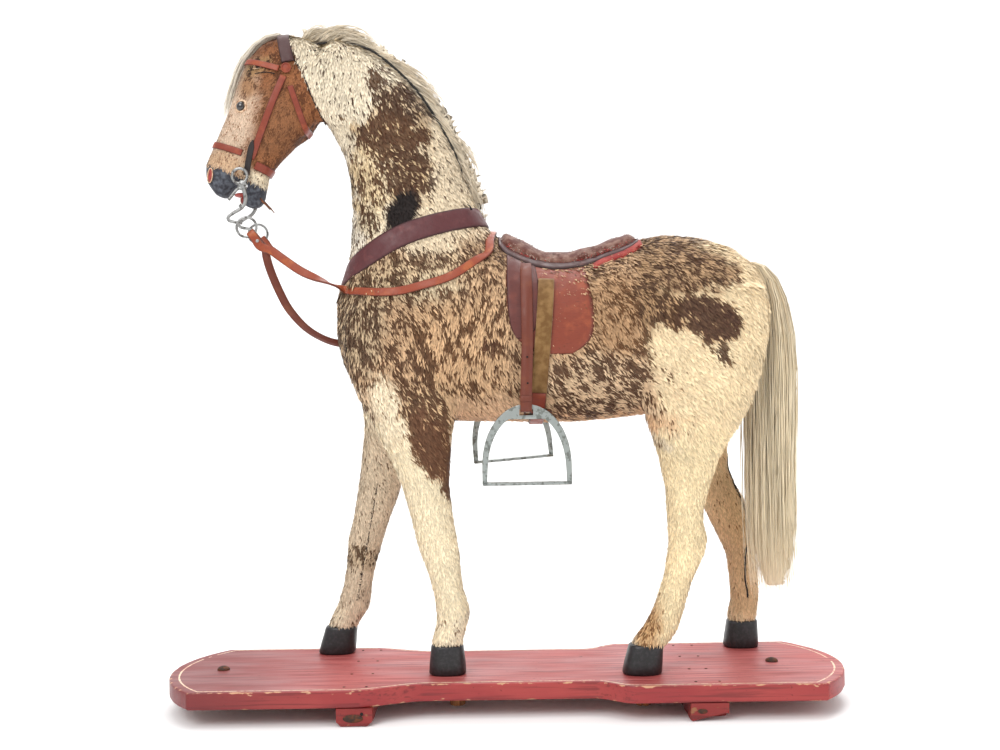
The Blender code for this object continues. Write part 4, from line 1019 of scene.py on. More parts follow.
def fur_group() -> Group:
    """Tufts scattered over a skin, lying along its hair direction.

    Returns:
        The tree; its skin brings "cover" (tufts a square metre), "hair" (their length in
        metres), "flow", "brown" and the two coat colours.
    """
    group = Group(
        "fur",
        {
            "Material": "NodeSocketMaterial",
            "Tuft": "NodeSocketObject",
            "Seed": "NodeSocketInt",
            "Width": "NodeSocketFloat",
            "Lift": "NodeSocketFloat",
        },
    )
    points = group.add(
        "GeometryNodeDistributePointsOnFaces",
        {"Mesh": group.start["Geometry"], "Density": group.named("cover"), "Seed": group.start["Seed"]},
        distribute_method="RANDOM",
    )
    brown = group.named("brown")
    chance = group.random(0.0, 1.0, 3)
    dark = group.add("FunctionNodeCompare", {0: chance, 1: brown}, data_type="FLOAT", operation="LESS_THAN")
    tone = group.math("ADD", group.math("MULTIPLY", dark.outputs[0], 0.88), group.random(0.0, 0.12, 4))
    shape = group.store(points.outputs["Points"], "tone", tone)
    shape = group.store(shape, "shade", group.random(0.0, 1.0, 5))
    along = group.add(
        "FunctionNodeAlignRotationToVector", {"Vector": group.named("flow", "FLOAT_VECTOR")}, axis="X"
    )
    upright = group.add(
        "FunctionNodeAlignRotationToVector",
        {"Rotation": along.outputs[0], "Vector": points.outputs["Normal"]},
        axis="Z",
        pivot_axis="X",
    )
    pitch = group.math("MULTIPLY", group.random(-1.0, 0.15, 7), group.start["Lift"])
    roll, yaw = group.random(-0.3, 0.3, 8), group.random(-0.32, 0.32, 6)
    sway = group.add("ShaderNodeCombineXYZ", {0: roll, 1: pitch, 2: yaw})
    by = group.add("FunctionNodeEulerToRotation", {0: sway.outputs[0]}).outputs[0]
    turn = group.add(
        "FunctionNodeRotateRotation",
        {"Rotation": upright.outputs[0], "Rotate By": by},
        rotation_space="LOCAL",
    )
    length = group.math("MULTIPLY", group.named("hair"), group.random(0.65, 1.3, 9))
    wide = group.math("MULTIPLY", group.start["Width"], group.random(0.55, 1.4, 10))
    size = group.add("ShaderNodeCombineXYZ", {0: length, 1: wide, 2: length})
    tuft = group.add("GeometryNodeObjectInfo", {"Object": group.start["Tuft"]}, transform_space="ORIGINAL")
    made = group.add(
        "GeometryNodeInstanceOnPoints",
        {
            "Points": shape,
            "Instance": tuft.outputs["Geometry"],
            "Rotation": turn.outputs[0],
            "Scale": size.outputs[0],
        },
    )
    group.end(made.outputs[0])
    return group


def strand_group() -> Group:
    """Loose strands round guide lines.

    Returns:
        The tree; each guide point brings "loose", how far strands stray there in metres, and
        "fade", how much darker the hair is there.
    """
    group = Group(
        "strands",
        {
            "Material": "NodeSocketMaterial",
            "Strands": "NodeSocketInt",
            "Radius": "NodeSocketFloat",
            "Shortest": "NodeSocketFloat",
            "Seed": "NodeSocketInt",
        },
    )
    curves = group.add("GeometryNodeMeshToCurve", {0: group.start["Geometry"]}).outputs[0]
    copies = group.add(
        "GeometryNodeDuplicateElements",
        {"Geometry": curves, "Amount": group.start["Strands"]},
        domain="SPLINE",
    )
    index = group.add("GeometryNodeInputIndex").outputs[0]

    def each(low: float, high: float, seed: int) -> bpy.types.NodeSocket:
        """A random number that stays the same along a strand."""
        number = group.add(
            "FunctionNodeRandomValue",
            {2: low, 3: high, "ID": index, "Seed": group.math("ADD", group.start["Seed"], seed)},
            data_type="FLOAT",
        )
        held = group.add(
            "GeometryNodeFieldOnDomain", {0: number.outputs[1]}, data_type="FLOAT", domain="CURVE"
        )
        return held.outputs[0]

    loose = group.named("loose")
    along = group.add("GeometryNodeSplineParameter").outputs[0]
    stray = []
    for axis in range(3):
        drift = each(-1.0, 1.0, 10 + axis)
        phase = each(0.0, 6.3, 20 + axis)
        bends = each(3.0, 9.0, 30 + axis)
        wave = group.math("SINE", group.math("ADD", group.math("MULTIPLY", along, bends), phase))
        bent = group.math("ADD", drift, group.math("MULTIPLY", wave, 0.28))
        stray.append(group.math("MULTIPLY", bent, loose))
    offset = group.add("ShaderNodeCombineXYZ", {0: stray[0], 1: stray[1], 2: stray[2]}).outputs[0]
    shape = group.add("GeometryNodeSetPosition", {0: copies.outputs[0], "Offset": offset}).outputs[0]
    last = group.add(
        "FunctionNodeRandomValue",
        {2: group.start["Shortest"], 3: 1.0, "ID": index, "Seed": 44},
        data_type="FLOAT",
    )
    shape = group.add("GeometryNodeTrimCurve", {"Curve": shape, "End": last.outputs[1]}, mode="FACTOR")
    shape = shape.outputs[0]
    shape = group.store(shape, "shade", each(0.0, 1.0, 50))
    shape = group.store(shape, "tone", group.math("MULTIPLY", group.named("fade"), each(0.2, 1.0, 51)))
    tip = group.math("SUBTRACT", 1.0, group.math("POWER", along, 4.0))
    shape = group.store(shape, "tip", group.math("MULTIPLY", group.math("ADD", along, 0.6), 0.62))
    taper = group.math("ADD", group.math("MULTIPLY", tip, 0.85), 0.15)
    radius = group.math("MULTIPLY", group.start["Radius"], taper)
    ring = group.add("GeometryNodeCurvePrimitiveCircle", {"Resolution": 3, "Radius": 1.0}, mode="RADIUS")
    profile = {"Curve": shape, "Profile Curve": ring.outputs[0], "Scale": radius}
    rods = group.add("GeometryNodeCurveToMesh", profile)
    group.end(rods.outputs[0])
    return group


def stitch_group() -> Group:
    """Short cross threads at even steps along a line.

    Returns:
        The tree.
    """
    group = Group(
        "stitches",
        {
            "Material": "NodeSocketMaterial",
            "Thread": "NodeSocketObject",
            "Step": "NodeSocketFloat",
            "Size": "NodeSocketFloat",
        },
    )
    curve = group.add("GeometryNodeMeshToCurve", {0: group.start["Geometry"]}).outputs[0]
    along = {"Curve": curve, "Length": group.start["Step"]}
    points = group.add("GeometryNodeCurveToPoints", along, mode="LENGTH")
    source = {"Object": group.start["Thread"]}
    thread = group.add("GeometryNodeObjectInfo", source, transform_space="ORIGINAL")
    size = group.math("MULTIPLY", group.start["Size"], group.random(0.6, 1.3, 2))
    made = group.add(
        "GeometryNodeInstanceOnPoints",
        {
            "Points": points.outputs["Points"],
            "Instance": thread.outputs["Geometry"],
            "Rotation": points.outputs["Rotation"],
            "Scale": size,
        },
    )
    group.end(made.outputs[0])
    return group


def tuft_blade(name: str = "tuft") -> bpy.types.Object:
    """One flat tapered lock of hair, a unit long, that rises a little to its tip.

    Args:
        name: the helper's name.
    Returns:
        The helper object, with "tip" from 0 at the root to 1.
    """
    rows = ((0.0, 0.42, -0.05, 0.0), (0.55, 0.5, 0.07, 0.6), (1.0, 0.0, 0.1, 1.0))
    verts = [(x, side * half, z) for x, half, z, _ in rows[:2] for side in (-1, 1)]
    verts.append((rows[2][0], 0.0, rows[2][2]))
    mesh = bpy.data.meshes.new(name)
    mesh.from_pydata(verts, [], [(0, 1, 3, 2), (2, 3, 4)])
    mesh.attributes.new("tip", "FLOAT", "POINT").data.foreach_set("value", [0.0, 0.0, 0.6, 0.6, 1.0])
    return link(name, mesh)


@dataclass(frozen=True)
class Patch:
    """One area of the coat, an ellipse in the side view with a ragged edge."""

    x: float
    z: float
    long: float
    high: float
    turn: float = 0.0
    brown: Optional[float] = None
    pale: str = ""
    dark: str = ""
    soft: float = 0.3
    ragged: float = 0.3
    side: int = 0

    def share(self, place: Vector) -> float:
        """How far a skin point lies inside.

        Args:
            place: the point in metres.
        Returns:
            1 well inside, 0 outside.
        """
        if self.side and (place.y - HORSE_Y) * self.side < 0:
            return 0.0
        dx = place.x / MM - self.x
        dz = place.z / MM - self.z
        if abs(dx) + abs(dz) > 3.2 * (self.long + self.high):
            return 0.0
        turn = math.radians(self.turn)
        u = (dx * math.cos(turn) + dz * math.sin(turn)) / self.long
        v = (-dx * math.sin(turn) + dz * math.cos(turn)) / self.high
        wave = noise.noise(place * 70 + Vector((self.x, self.z, 0)))
        wave += 0.6 * noise.noise(place * 210 + Vector((self.z, 0, self.x)))
        reach = math.hypot(u, v) + self.ragged * wave
        return 1.0 - ease(reach, 1.0 - self.soft, 1.0 + self.soft)


CREAM = "#E9D9BC"
COAT: tuple[Patch, ...] = (
    # Ground colours, from the largest area to the smallest.
    Patch(40, 420, 260, 130, 0, 0.42, "#C9A580", "#5B3921", 0.25, 0.1),
    Patch(-150, 640, 120, 130, 0, 0.05, "#EADCC2", "#4A2B18", 0.2, 0.05),
    Patch(-70, 560, 60, 75, 0, 0.1, "#E2CFB0", "#57402E", 0.3),
    Patch(-168, 545, 22, 60, 0, 0.1, "#F2E8D6", "#5A3A22", 0.3),
    Patch(232, 385, 80, 118, 0, 0.0, "#EFD8B0", "#8A6A48", 0.08, 0.12),
    Patch(-14, 312, 66, 26, 0, 0.03, "#DDB792", "#7A563A", 0.3),
    Patch(100, 308, 90, 12, 0, 0.1, "#DDB58C", "#6B4A30", 0.4),
    # Legs.
    Patch(-110, 190, 90, 128, 0, 0.0, "#F3E3C2", "#9A7A55", 0.1),
    Patch(210, 170, 105, 128, 0, 0.0, "#F3DEB4", "#9A7650", 0.1),
    Patch(280, 180, 50, 110, 0, 0.02, "#DDBB90", "#8A6440", 0.2, 0.2, FAR),
    Patch(-150, 175, 60, 130, 0, 0.06, "#DCC8AC", "#6E543C", 0.2, 0.2, FAR),
    Patch(150, 95, 14, 34, 0, 0.25, "#D8AE7C", "#8E6038", 0.5),
    Patch(-160, 150, 12, 66, 80, 0.4, "#D2BC9C", "#5F4630", 0.4, 0.4, FAR),
    # Neck.
    Patch(-135, 690, 10, 13, 0, 0.8, "", "#6A4A30"),
    Patch(-108, 660, 29, 22, -20, 0.9, "#C7AE8C", "#4C2D1A", 0.3, 0.4),
    Patch(-88, 650, 15, 20, 0, 0.6, "#B9A183", "#40281A", 0.4, 0.4),
    Patch(-122, 622, 42, 27, 0, 0.93, "#C9AC84", "#56331D", 0.25, 0.45),
    Patch(-98, 580, 29, 31, 0, 0.93, "#C9AC84", "#4F2E1A", 0.25, 0.45),
    Patch(-143, 572, 21, 38, 10, 0.55, "#DCC49C", "#5F3C22", 0.35, 0.5),
    Patch(-57, 587, 20, 44, 0, 0.14, "#DDCBAE", "#6E5A48", 0.4),
    Patch(-143, 529, 15, 13, 0, 0.4, "#DCC9A8", "#5A3A22", 0.4),
    Patch(-168, 640, 12, 9, 0, 0.25, "", "#8A6A48", 0.5),
    Patch(-107, 539, 15, 24, -25, 1.0, "#2A1A14", "#1B100D", 0.12, 0.2),
    # Barrel and chest.
    Patch(-153, 420, 27, 55, -10, 0.68, "#C8AE8C", "#573A26", 0.35),
    Patch(-102, 464, 60, 25, 8, 0.62, "#CDB28E", "#5E3F28", 0.35, 0.4),
    Patch(-66, 455, 28, 18, 0, 0.25, "#D6C2A0", "#6B4C34", 0.5, 0.4),
    Patch(-46, 395, 50, 56, 0, 0.36, "#CFA981", "#623E22", 0.3),
    Patch(-11, 392, 9, 11, 0, 0.85, "", "#5A3520", 0.3, 0.4),
    Patch(-90, 375, 20, 26, 20, 0.62, "", "#5A3A24", 0.4, 0.4),
    Patch(117, 424, 32, 42, 0, 0.34, "#B28D68", "#6B4628", 0.4, 0.3),
    Patch(100, 350, 66, 32, 0, 0.52, "#D3B592", "#593A26", 0.25, 0.4),
    Patch(80, 321, 36, 11, 0, 0.75, "", "#4F3220", 0.4, 0.4),
    Patch(156, 450, 16, 42, 0, 0.7, "#A98661", "#523622", 0.35, 0.5),
    Patch(60, 500, 100, 20, 0, 0.4, "#A5825F", "#5B3C28", 0.4),
    # Croup and rump patch.
    Patch(197, 472, 50, 28, -12, 0.5, "#B2906C", "#5A3C28", 0.22, 0.35),
    Patch(178, 425, 22, 19, 0, 0.8, "#B8936C", "#50321F", 0.3, 0.5),
    Patch(218, 418, 34, 24, -35, 0.97, "#C7A47A", "#513326", 0.18, 0.35),
    Patch(229, 380, 8, 12, 30, 0.9, "", "#553624", 0.4, 0.5),
    # Near foreleg: cream front, brown forearm.
    Patch(-122, 322, 15, 44, 18, 0.03, "#F0DFC0", "#9A7A58", 0.3, 0.3),
    Patch(-84, 325, 25, 32, 10, 0.86, "#CBAA82", "#5E3D28", 0.25, 0.45, NEAR),
    Patch(-76, 282, 21, 42, 22, 0.96, "#B8906A", "#6B4630", 0.2, 0.35, NEAR),
    Patch(-60, 240, 9, 14, 20, 0.95, "", "#6E4A34", 0.3, 0.3, NEAR),
    # Head.
    Patch(-245, 660, 62, 78, 0, 0.4, "#96603C", "#6E4024", 0.06, 0.02),
    Patch(-250, 640, 30, 40, 0, 0.3, "#90603F", "#744A2E", 0.4, 0.1),
    Patch(-294, 638, 27, 66, -16, 0.12, "#D9BFA6", "#A87C5C", 0.35, 0.2),
    Patch(-272, 678, 12, 14, 0, 0.35, "#B08560", "#5B3520", 0.5, 0.2),
    Patch(-262, 700, 17, 10, 20, 0.5, "#A88258", "#3A2417", 0.5, 0.3),
    Patch(-303, 590, 26, 22, 0, 0.15, "#D0AE8C", "#96684A", 0.4, 0.15),
)

# Hair directions on the side of the body: x, z in millimetres and degrees, -90 is straight down.
FLOW = (
    (-179, 674, -85),
    (-190, 632, -62),
    (-127, 588, -52),
    (-95, 660, -62),
    (-138, 546, -58),
    (-63, 587, -60),
    (-162, 407, -86),
    (-118, 439, -62),
    (-119, 396, -70),
    (-77, 385, -100),
    (-23, 395, -98),
    (-30, 460, -75),
    (-88, 332, -56),
    (-83, 289, -52),
    (-101, 200, -80),
    (-160, 150, -95),
    (30, 345, -40),
    (104, 350, -38),
    (127, 424, -60),
    (192, 477, -45),
    (212, 412, -52),
    (200, 348, -48),
    (243, 348, -60),
    (210, 295, -58),
    (198, 221, -85),
    (170, 110, -95),
    (280, 130, -85),
    (-238, 650, -130),
    (-290, 620, -112),
)


@dataclass
class Hide:
    """The skin of the horse with its coat colours and short hair."""

    voxel: float = 0.0028
    tuft_width: float = 0.0019
    skin: Optional[bpy.types.Object] = None
    surface: Optional[Surface] = None

    def build(self) -> None:
        """Make the skin, colour it and grow the hair."""
        mesh = NODES["horse_body"].data.copy()
        skin = link("horse_skin", mesh)
        modify(skin, "REMESH", mode="VOXEL", voxel_size=self.voxel)
        modify(skin, "SMOOTH", factor=0.5, iterations=7)
        for polygon in skin.data.polygons:
            polygon.use_smooth = True
        skin.data.materials.clear()
        skin.data.materials.append(Kit.SKIN.material)
        self.skin = skin
        self.surface = Surface(skin)
        self.colour(skin.data)
        self.grow(skin)
        keep(skin, "hide", "horse_body")

    def head_side(self, x: float, z: float) -> bool:
        """Whether a station in millimetres lies on the head, in front of the seam."""
        return z > 545 and x < -186 and 39 * (z - 727) + 94 * (x + 227) < 0

    def colour(self, mesh: bpy.types.Mesh) -> None:
        """Write the coat's colours, hair direction, length and cover on the skin.

        Args:
            mesh: the skin.
        """
        count = len(mesh.vertices)
        pale = np.ones((count, 4), dtype=np.float32)
        dark = np.ones((count, 4), dtype=np.float32)
        brown = np.zeros(count, dtype=np.float32)
        slate = np.zeros(count, dtype=np.float32)
        cover = np.zeros(count, dtype=np.float32)
        hair = np.zeros(count, dtype=np.float32)
        flow = np.zeros((count, 3), dtype=np.float32)
        codes = [(linear(p.pale) if p.pale else None, linear(p.dark) if p.dark else None) for p in COAT]
        ways = [(x, z, math.cos(math.radians(a)), math.sin(math.radians(a))) for x, z, a in FLOW]
        for i, vertex in enumerate(mesh.vertices):
            place = vertex.co
            x, z = place.x / MM, place.z / MM
            on_head = self.head_side(x, z)
            light, deep, mass = Vector(linear(CREAM)), Vector(linear("#6B4A30")), 0.1
            for patch, (code_pale, code_dark) in zip(COAT, codes):
                if on_head != (patch.x < -230 and patch.z > 500):
                    continue
                share = patch.share(place)
                if share <= 0:
                    continue
                if patch.brown is not None:
                    mass += (patch.brown - mass) * share
                if code_pale:
                    light = light.lerp(Vector(code_pale), share)
                if code_dark:
                    deep = deep.lerp(Vector(code_dark), share)
            # Grizzled hair gathers in uneven flecks.
            lie = Vector((place.x + place.z * 0.45, place.y, (place.z - place.x) * 0.42))
            fleck = noise.noise(lie * 120) + 0.8 * noise.noise(lie * 270)
            uneven = (4 * mass * (1 - mass)) ** 1.4
            brown[i] = min(max(mass + fleck * 1.15 * uneven, 0.0), 1.0)
            tint = 1.0 + 0.12 * noise.noise(place * 28)
            pale[i] = [*(c * tint for c in light[:3]), 1.0]
            dark[i] = [*(c * tint * 0.8 for c in deep[:3]), 1.0]
            long, many_tufts = self.coat_at(x, z, on_head)
            bare = self.bare_at(place, x, z)
            slate[i] = bare
            cover[i] = many_tufts * (1.0 - ease(bare, 0.2, 0.6))
            hair[i] = long
            gx = gz = 0.0
            for fx, fz, cx, cz in ways:
                weight = 1.0 / ((x - fx) ** 2 + (z - fz) ** 2 + 500.0) ** 1.5
                gx += cx * weight
                gz += cz * weight
            way = Vector((gx, 0.0, gz)).normalized()
            swirl = 0.35 * noise.noise(place * 30 + Vector((9, 2, 4)))
            c, s = math.cos(swirl), math.sin(swirl)
            way = Vector((way.x * c - way.z * s, 0.0, way.x * s + way.z * c))
            normal = vertex.normal
            flat = way - normal * way.dot(normal)
            flow[i] = flat.normalized() if flat.length > 0.1 else way
        for name, kind, values in (("pale", "FLOAT_COLOR", pale), ("dark", "FLOAT_COLOR", dark)):
            mesh.attributes.new(name, kind, "POINT").data.foreach_set("color", values.ravel())
        for name, numbers in (("brown", brown), ("slate", slate), ("cover", cover), ("hair", hair)):
            mesh.attributes.new(name, "FLOAT", "POINT").data.foreach_set("value", numbers)
        mesh.attributes.new("flow", "FLOAT_VECTOR", "POINT").data.foreach_set("vector", flow.ravel())

    def coat_at(self, x: float, z: float, on_head: bool) -> tuple[float, float]:
        """Hair length in metres and tufts a square metre at a station.

        Args:
            x: millimetres along the toy.
            z: millimetres above the floor.
            on_head: whether it is on the head.
        Returns:
            The length and the number.
        """
        if on_head:
            return 0.0036, 520000.0
        if z > 520 or x < -60 and z > 500:
            return 0.0082, 340000.0
        if z < 300:
            share = ease(z, 230, 300)
            return 0.0062 + 0.0028 * share, 360000.0 - 40000.0 * share
        return 0.0095, 320000.0

    def bare_at(self, place: Vector, x: float, z: float) -> float:
        """How far the painted muzzle covers a point.

        Args:
            place: the point in metres.
            x: the same in millimetres along the toy.
            z: the same above the floor.
        Returns:
            1 on the paint and 0 off it.
        """
        if x > -232 or z > 612:
            return 0.0
        edge = 590 + (x + 310) * -0.42 + 3 * noise.noise(place * 130)
        return 1.0 - ease(z, edge - 1.5, edge + 1.5)

    def grow(self, skin: bpy.types.Object) -> None:
        """Grow the hair, one piece for each part of the body.

        Args:
            skin: the coloured skin.
        """
        group = fur_group()
        blade = tuft_blade()
        regions: dict[str, Callable[[float, float], bool]] = {
            "coat_head": self.head_side,
            "coat_neck": lambda x, z: z > 480 and x < -18 and not self.head_side(x, z),
            "coat_shoulder": lambda x, z: (
                z >= 300 and x < 0 and not (z > 480 and x < -18) and not self.head_side(x, z)
            ),
            "coat_barrel": lambda x, z: z >= 300 and 0 <= x < 150,
            "coat_rump": lambda x, z: z >= 300 and x >= 150,
            "coat_forelegs": lambda x, z: z < 300 and x < 30,
            "coat_hind_legs": lambda x, z: z < 300 and x >= 30,
        }
        for seed, (name, inside) in enumerate(regions.items()):
            part = link(name, skin.data.copy())
            bm = bmesh.new()
            bm.from_mesh(part.data)
            middles = [(f, f.calc_center_median() / MM) for f in bm.faces]
            drop = [f for f, m in middles if not inside(m.x, m.z)]
            bmesh.ops.delete(bm, geom=drop, context="FACES")
            bm.to_mesh(part.data)
            bm.free()
            width = 0.0011 if name == "coat_head" else self.tuft_width
            width = 0.0013 if "legs" in name else width
            group.grow(
                part,
                {
                    "Material": Kit.COAT.material,
                    "Tuft": blade,
                    "Seed": seed + 1,
                    "Width": width,
                    "Lift": 0.10 if name == "coat_head" else 0.16,
                },
            )
            log.info("%s: %d faces", name, len(part.data.polygons))
            keep(part, "hide", "horse_body")
        remove(blade)


# Outer and inner outline of the mane from the crown to the withers, and how far it hangs.
MANE = (
    (-219, 744, -214, 729),
    (-200, 747, -196, 728),
    (-172, 748, -168, 722),
    (-128, 728, -138, 706),
    (-90, 694, -106, 678),
    (-60, 660, -80, 642),
    (-36, 614, -58, 600),
    (-19, 570, -44, 562),
    (-14, 532, -36, 526),
)
MANE_DROP = (16, 34, 58, 78, 88, 84, 50, 30, 12)

# The tail from its root down: x, z, y and the half-thicknesses along x and y.
TAIL = (
    (277, 476, 0, 6, 7),
    (288, 468, 0, 10, 9),
    (295, 446, 0, 16, 12),
    (299, 410, 0, 23, 14),
    (299, 360, 0, 27, 16),
    (298, 300, 0, 27, 17),
    (297, 240, 0, 26, 17),
    (297, 180, 0, 26, 16),
    (298, 142, 0, 24, 14),
    (298, 108, 0, 20, 12),
)
FORELOCK = (
    (-243, 738, 5, 4, 9),
    (-262, 733, 7, 5, 10),
    (-281, 716, 10, 5, 9),
    (-293, 694, 12, 5, 7),
    (-302, 668, 13, 5, 6),
    (-307, 646, 13, 3, 4),
)


@dataclass
class Horsehair:
    """Mane, tail and forelock as strands over a dense lock."""

    surface: Surface
    seed: int = 5
    guides: list[tuple[list[Vector], list[float], list[float]]] = field(default_factory=list)

    def build(self) -> None:
        """Make the three pieces."""
        self.group = strand_group()
        self.random = np.random.default_rng(self.seed)
        self.mane()
        self.tail()
        self.forelock()

    def strands(
        self, name: str, amount: int, radius: float, shortest: float, colours: tuple[str, str]
    ) -> bpy.types.Object:
        """Grow strands round the collected guides.

        Args:
            name: the piece's name.
            amount: strands for each guide.
            radius: their radius in metres.
            shortest: the shortest one's share of the guide.
            colours: pale and dark hair.
        Returns:
            The strands as one mesh.
        """
        verts: list[Vector] = []
        edges: list[tuple[int, int]] = []
        loose: list[float] = []
        fade: list[float] = []
        for line, stray, dim in self.guides:
            start = len(verts)
            verts += line
            loose += stray
            fade += dim
            edges += [(start + i, start + i + 1) for i in range(len(line) - 1)]
        mesh = bpy.data.meshes.new(name)
        mesh.from_pydata([tuple(v) for v in verts], edges, [])
        mesh.attributes.new("loose", "FLOAT", "POINT").data.foreach_set("value", loose)
        mesh.attributes.new("fade", "FLOAT", "POINT").data.foreach_set("value", fade)
        obj = link(name, mesh)
        self.group.grow(
            obj,
            {
                "Material": Kit.MANE.material,
                "Strands": amount,
                "Radius": radius,
                "Shortest": shortest,
                "Seed": self.seed,
            },
        )
        self.dye(obj, colours, False)
        self.guides = []
        for polygon in obj.data.polygons:
            polygon.use_smooth = True
        return obj

    def dye(self, obj: bpy.types.Object, colours: tuple[str, str], plain: bool) -> None:
        """Give the hair its two colours.

        Args:
            obj: strands or lock.
            colours: pale and dark hair.
            plain: whether the tones are missing and are set here.
        """
        count = len(obj.data.vertices)
        for key, code in zip(("pale", "dark"), colours):
            values = np.tile(np.array(linear(code), dtype=np.float32), count)
            obj.data.attributes.new(key, "FLOAT_COLOR", "POINT").data.foreach_set("color", values)
        if plain:
            for key, value in (("tone", 0.3), ("shade", 0.4), ("tip", 0.8)):
                obj.data.attributes.new(key, "FLOAT", "POINT").data.foreach_set("value", [value] * count)

    def lock(self, node: str, shrink: float, colours: tuple[str, str]) -> bpy.types.Object:
        """The dense inner hair, a little inside the plain piece's outline.

        Args:
            node: the plain piece.
            shrink: how far inside, in metres.
            colours: pale and dark hair.
        Returns:
            The lock.
        """
        obj = link(node + "_lock", NODES[node].data.copy())
        modify(obj, "REMESH", mode="VOXEL", voxel_size=0.003)
        modify(obj, "SMOOTH", factor=0.5, iterations=6)
        for vertex in obj.data.vertices:
            vertex.co = vertex.co - vertex.normal * shrink
        obj.data.materials.clear()
        obj.data.materials.append(Kit.MANE.material)
        for polygon in obj.data.polygons:
            polygon.use_smooth = True
        self.dye(obj, colours, True)
        return obj

    def mane(self) -> None:
        """Hair rooted along the crest, swept back over it and fallen to the far side."""
        colours = ("#EFE4D0", "#BFA988")
        steps = 9
        for k in range(64):
            share = k / 63
            far = k % 2 == 1
            line, stray, dim = [], [], []
            lean = float(self.random.uniform(0.45, 1.0))
            for i in range(steps):
                t = i / (steps - 1)
                ox, oz, ix, iz = between(MANE, min(share + t * 0.2, 1.0))
                rise = math.sin(math.pi * min(0.08 + t * 0.62, 1.0)) * lean
                x = ix + (ox - ix) * rise
                z = iz + (oz - iz) * rise
                y = float(-3 + 7 * t * self.random.uniform(0.7, 1.3))
                if far:
                    ox, oz, ix, iz = between(MANE, min(share + t * 0.07, 1.0))
                    drop = between([(d,) for d in MANE_DROP], share)[0] * lean
                    x = ix + (ox - ix) * 0.6 * math.sin(math.pi * t) - 0.15 * drop * t
                    z = iz + (oz - iz) * 0.6 * math.sin(math.pi * min(t * 1.3, 1.0)) - drop * t**1.4
                    place = self.surface.side(x, min(z, iz - 3), FAR)
                    side = (place.y - HORSE_Y) / MM if place is not None else 20.0
                    y = 2 + (side + 8) * math.sqrt(t)
                line.append(fig(x, y, z))
                stray.append((0.0022 + 0.0052 * t) * (0.9 if not far else 1.0))
                dim.append(0.25 + 0.5 * (1 - t))
            self.guides.append((line, stray, dim))
        hair = self.strands("mane_strands", 24, 0.0005, 0.55, colours)
        lock = self.lock("mane", 0.0045, colours)
        keep(joined("mane_hair", [hair, lock]), "horsehair", "mane")

    def tail(self) -> None:
        """Long hair hung from the dock, ragged at its end."""
        colours = ("#FAEDD0", "#CDB592")
        steps = 12
        for k in range(40):
            angle = 2 * math.pi * k * 0.618
            out = math.sqrt((k + 0.5) / 40)
            line, stray, dim = [], [], []
            for i in range(steps):
                t = i / (steps - 1)
                x, z, y, long, wide = between(TAIL, t)
                line.append(fig(x + long * out * math.cos(angle), y + wide * out * math.sin(angle), z))
                stray.append(0.0018 + 0.0032 * ease(t, 0.0, 0.3) + 0.003 * t)
                dim.append(1.0 - 0.75 * ease(t, 0.1, 0.55))
            self.guides.append((line, stray, dim))
        hair = self.strands("tail_strands", 40, 0.00052, 0.74, colours)
        lock = self.lock("tail", 0.004, colours)
        keep(joined("tail_hair", [hair, lock]), "horsehair", "tail")

    def forelock(self) -> None:
        """A thin pale lock down the brow."""
        colours = ("#F4ECDD", "#C9B698")
        for k in range(12):
            angle = 2 * math.pi * k * 0.618
            out = math.sqrt((k + 0.5) / 12) * 0.8
            line, stray, dim = [], [], []
            for i in range(8):
                t = i / 7
                x, z, y, thick, wide = between(FORELOCK, t)
                px = x - thick * out * math.cos(angle) * 0.6
                line.append(fig(px, y + wide * out * math.sin(angle), z + thick * 0.5))
                stray.append(0.0014 + 0.0024 * t)
                dim.append(0.2)
            self.guides.append((line, stray, dim))
        hair = self.strands("forelock_hair", 26, 0.0004, 0.5, colours)
        keep(hair, "horsehair", "forelock")


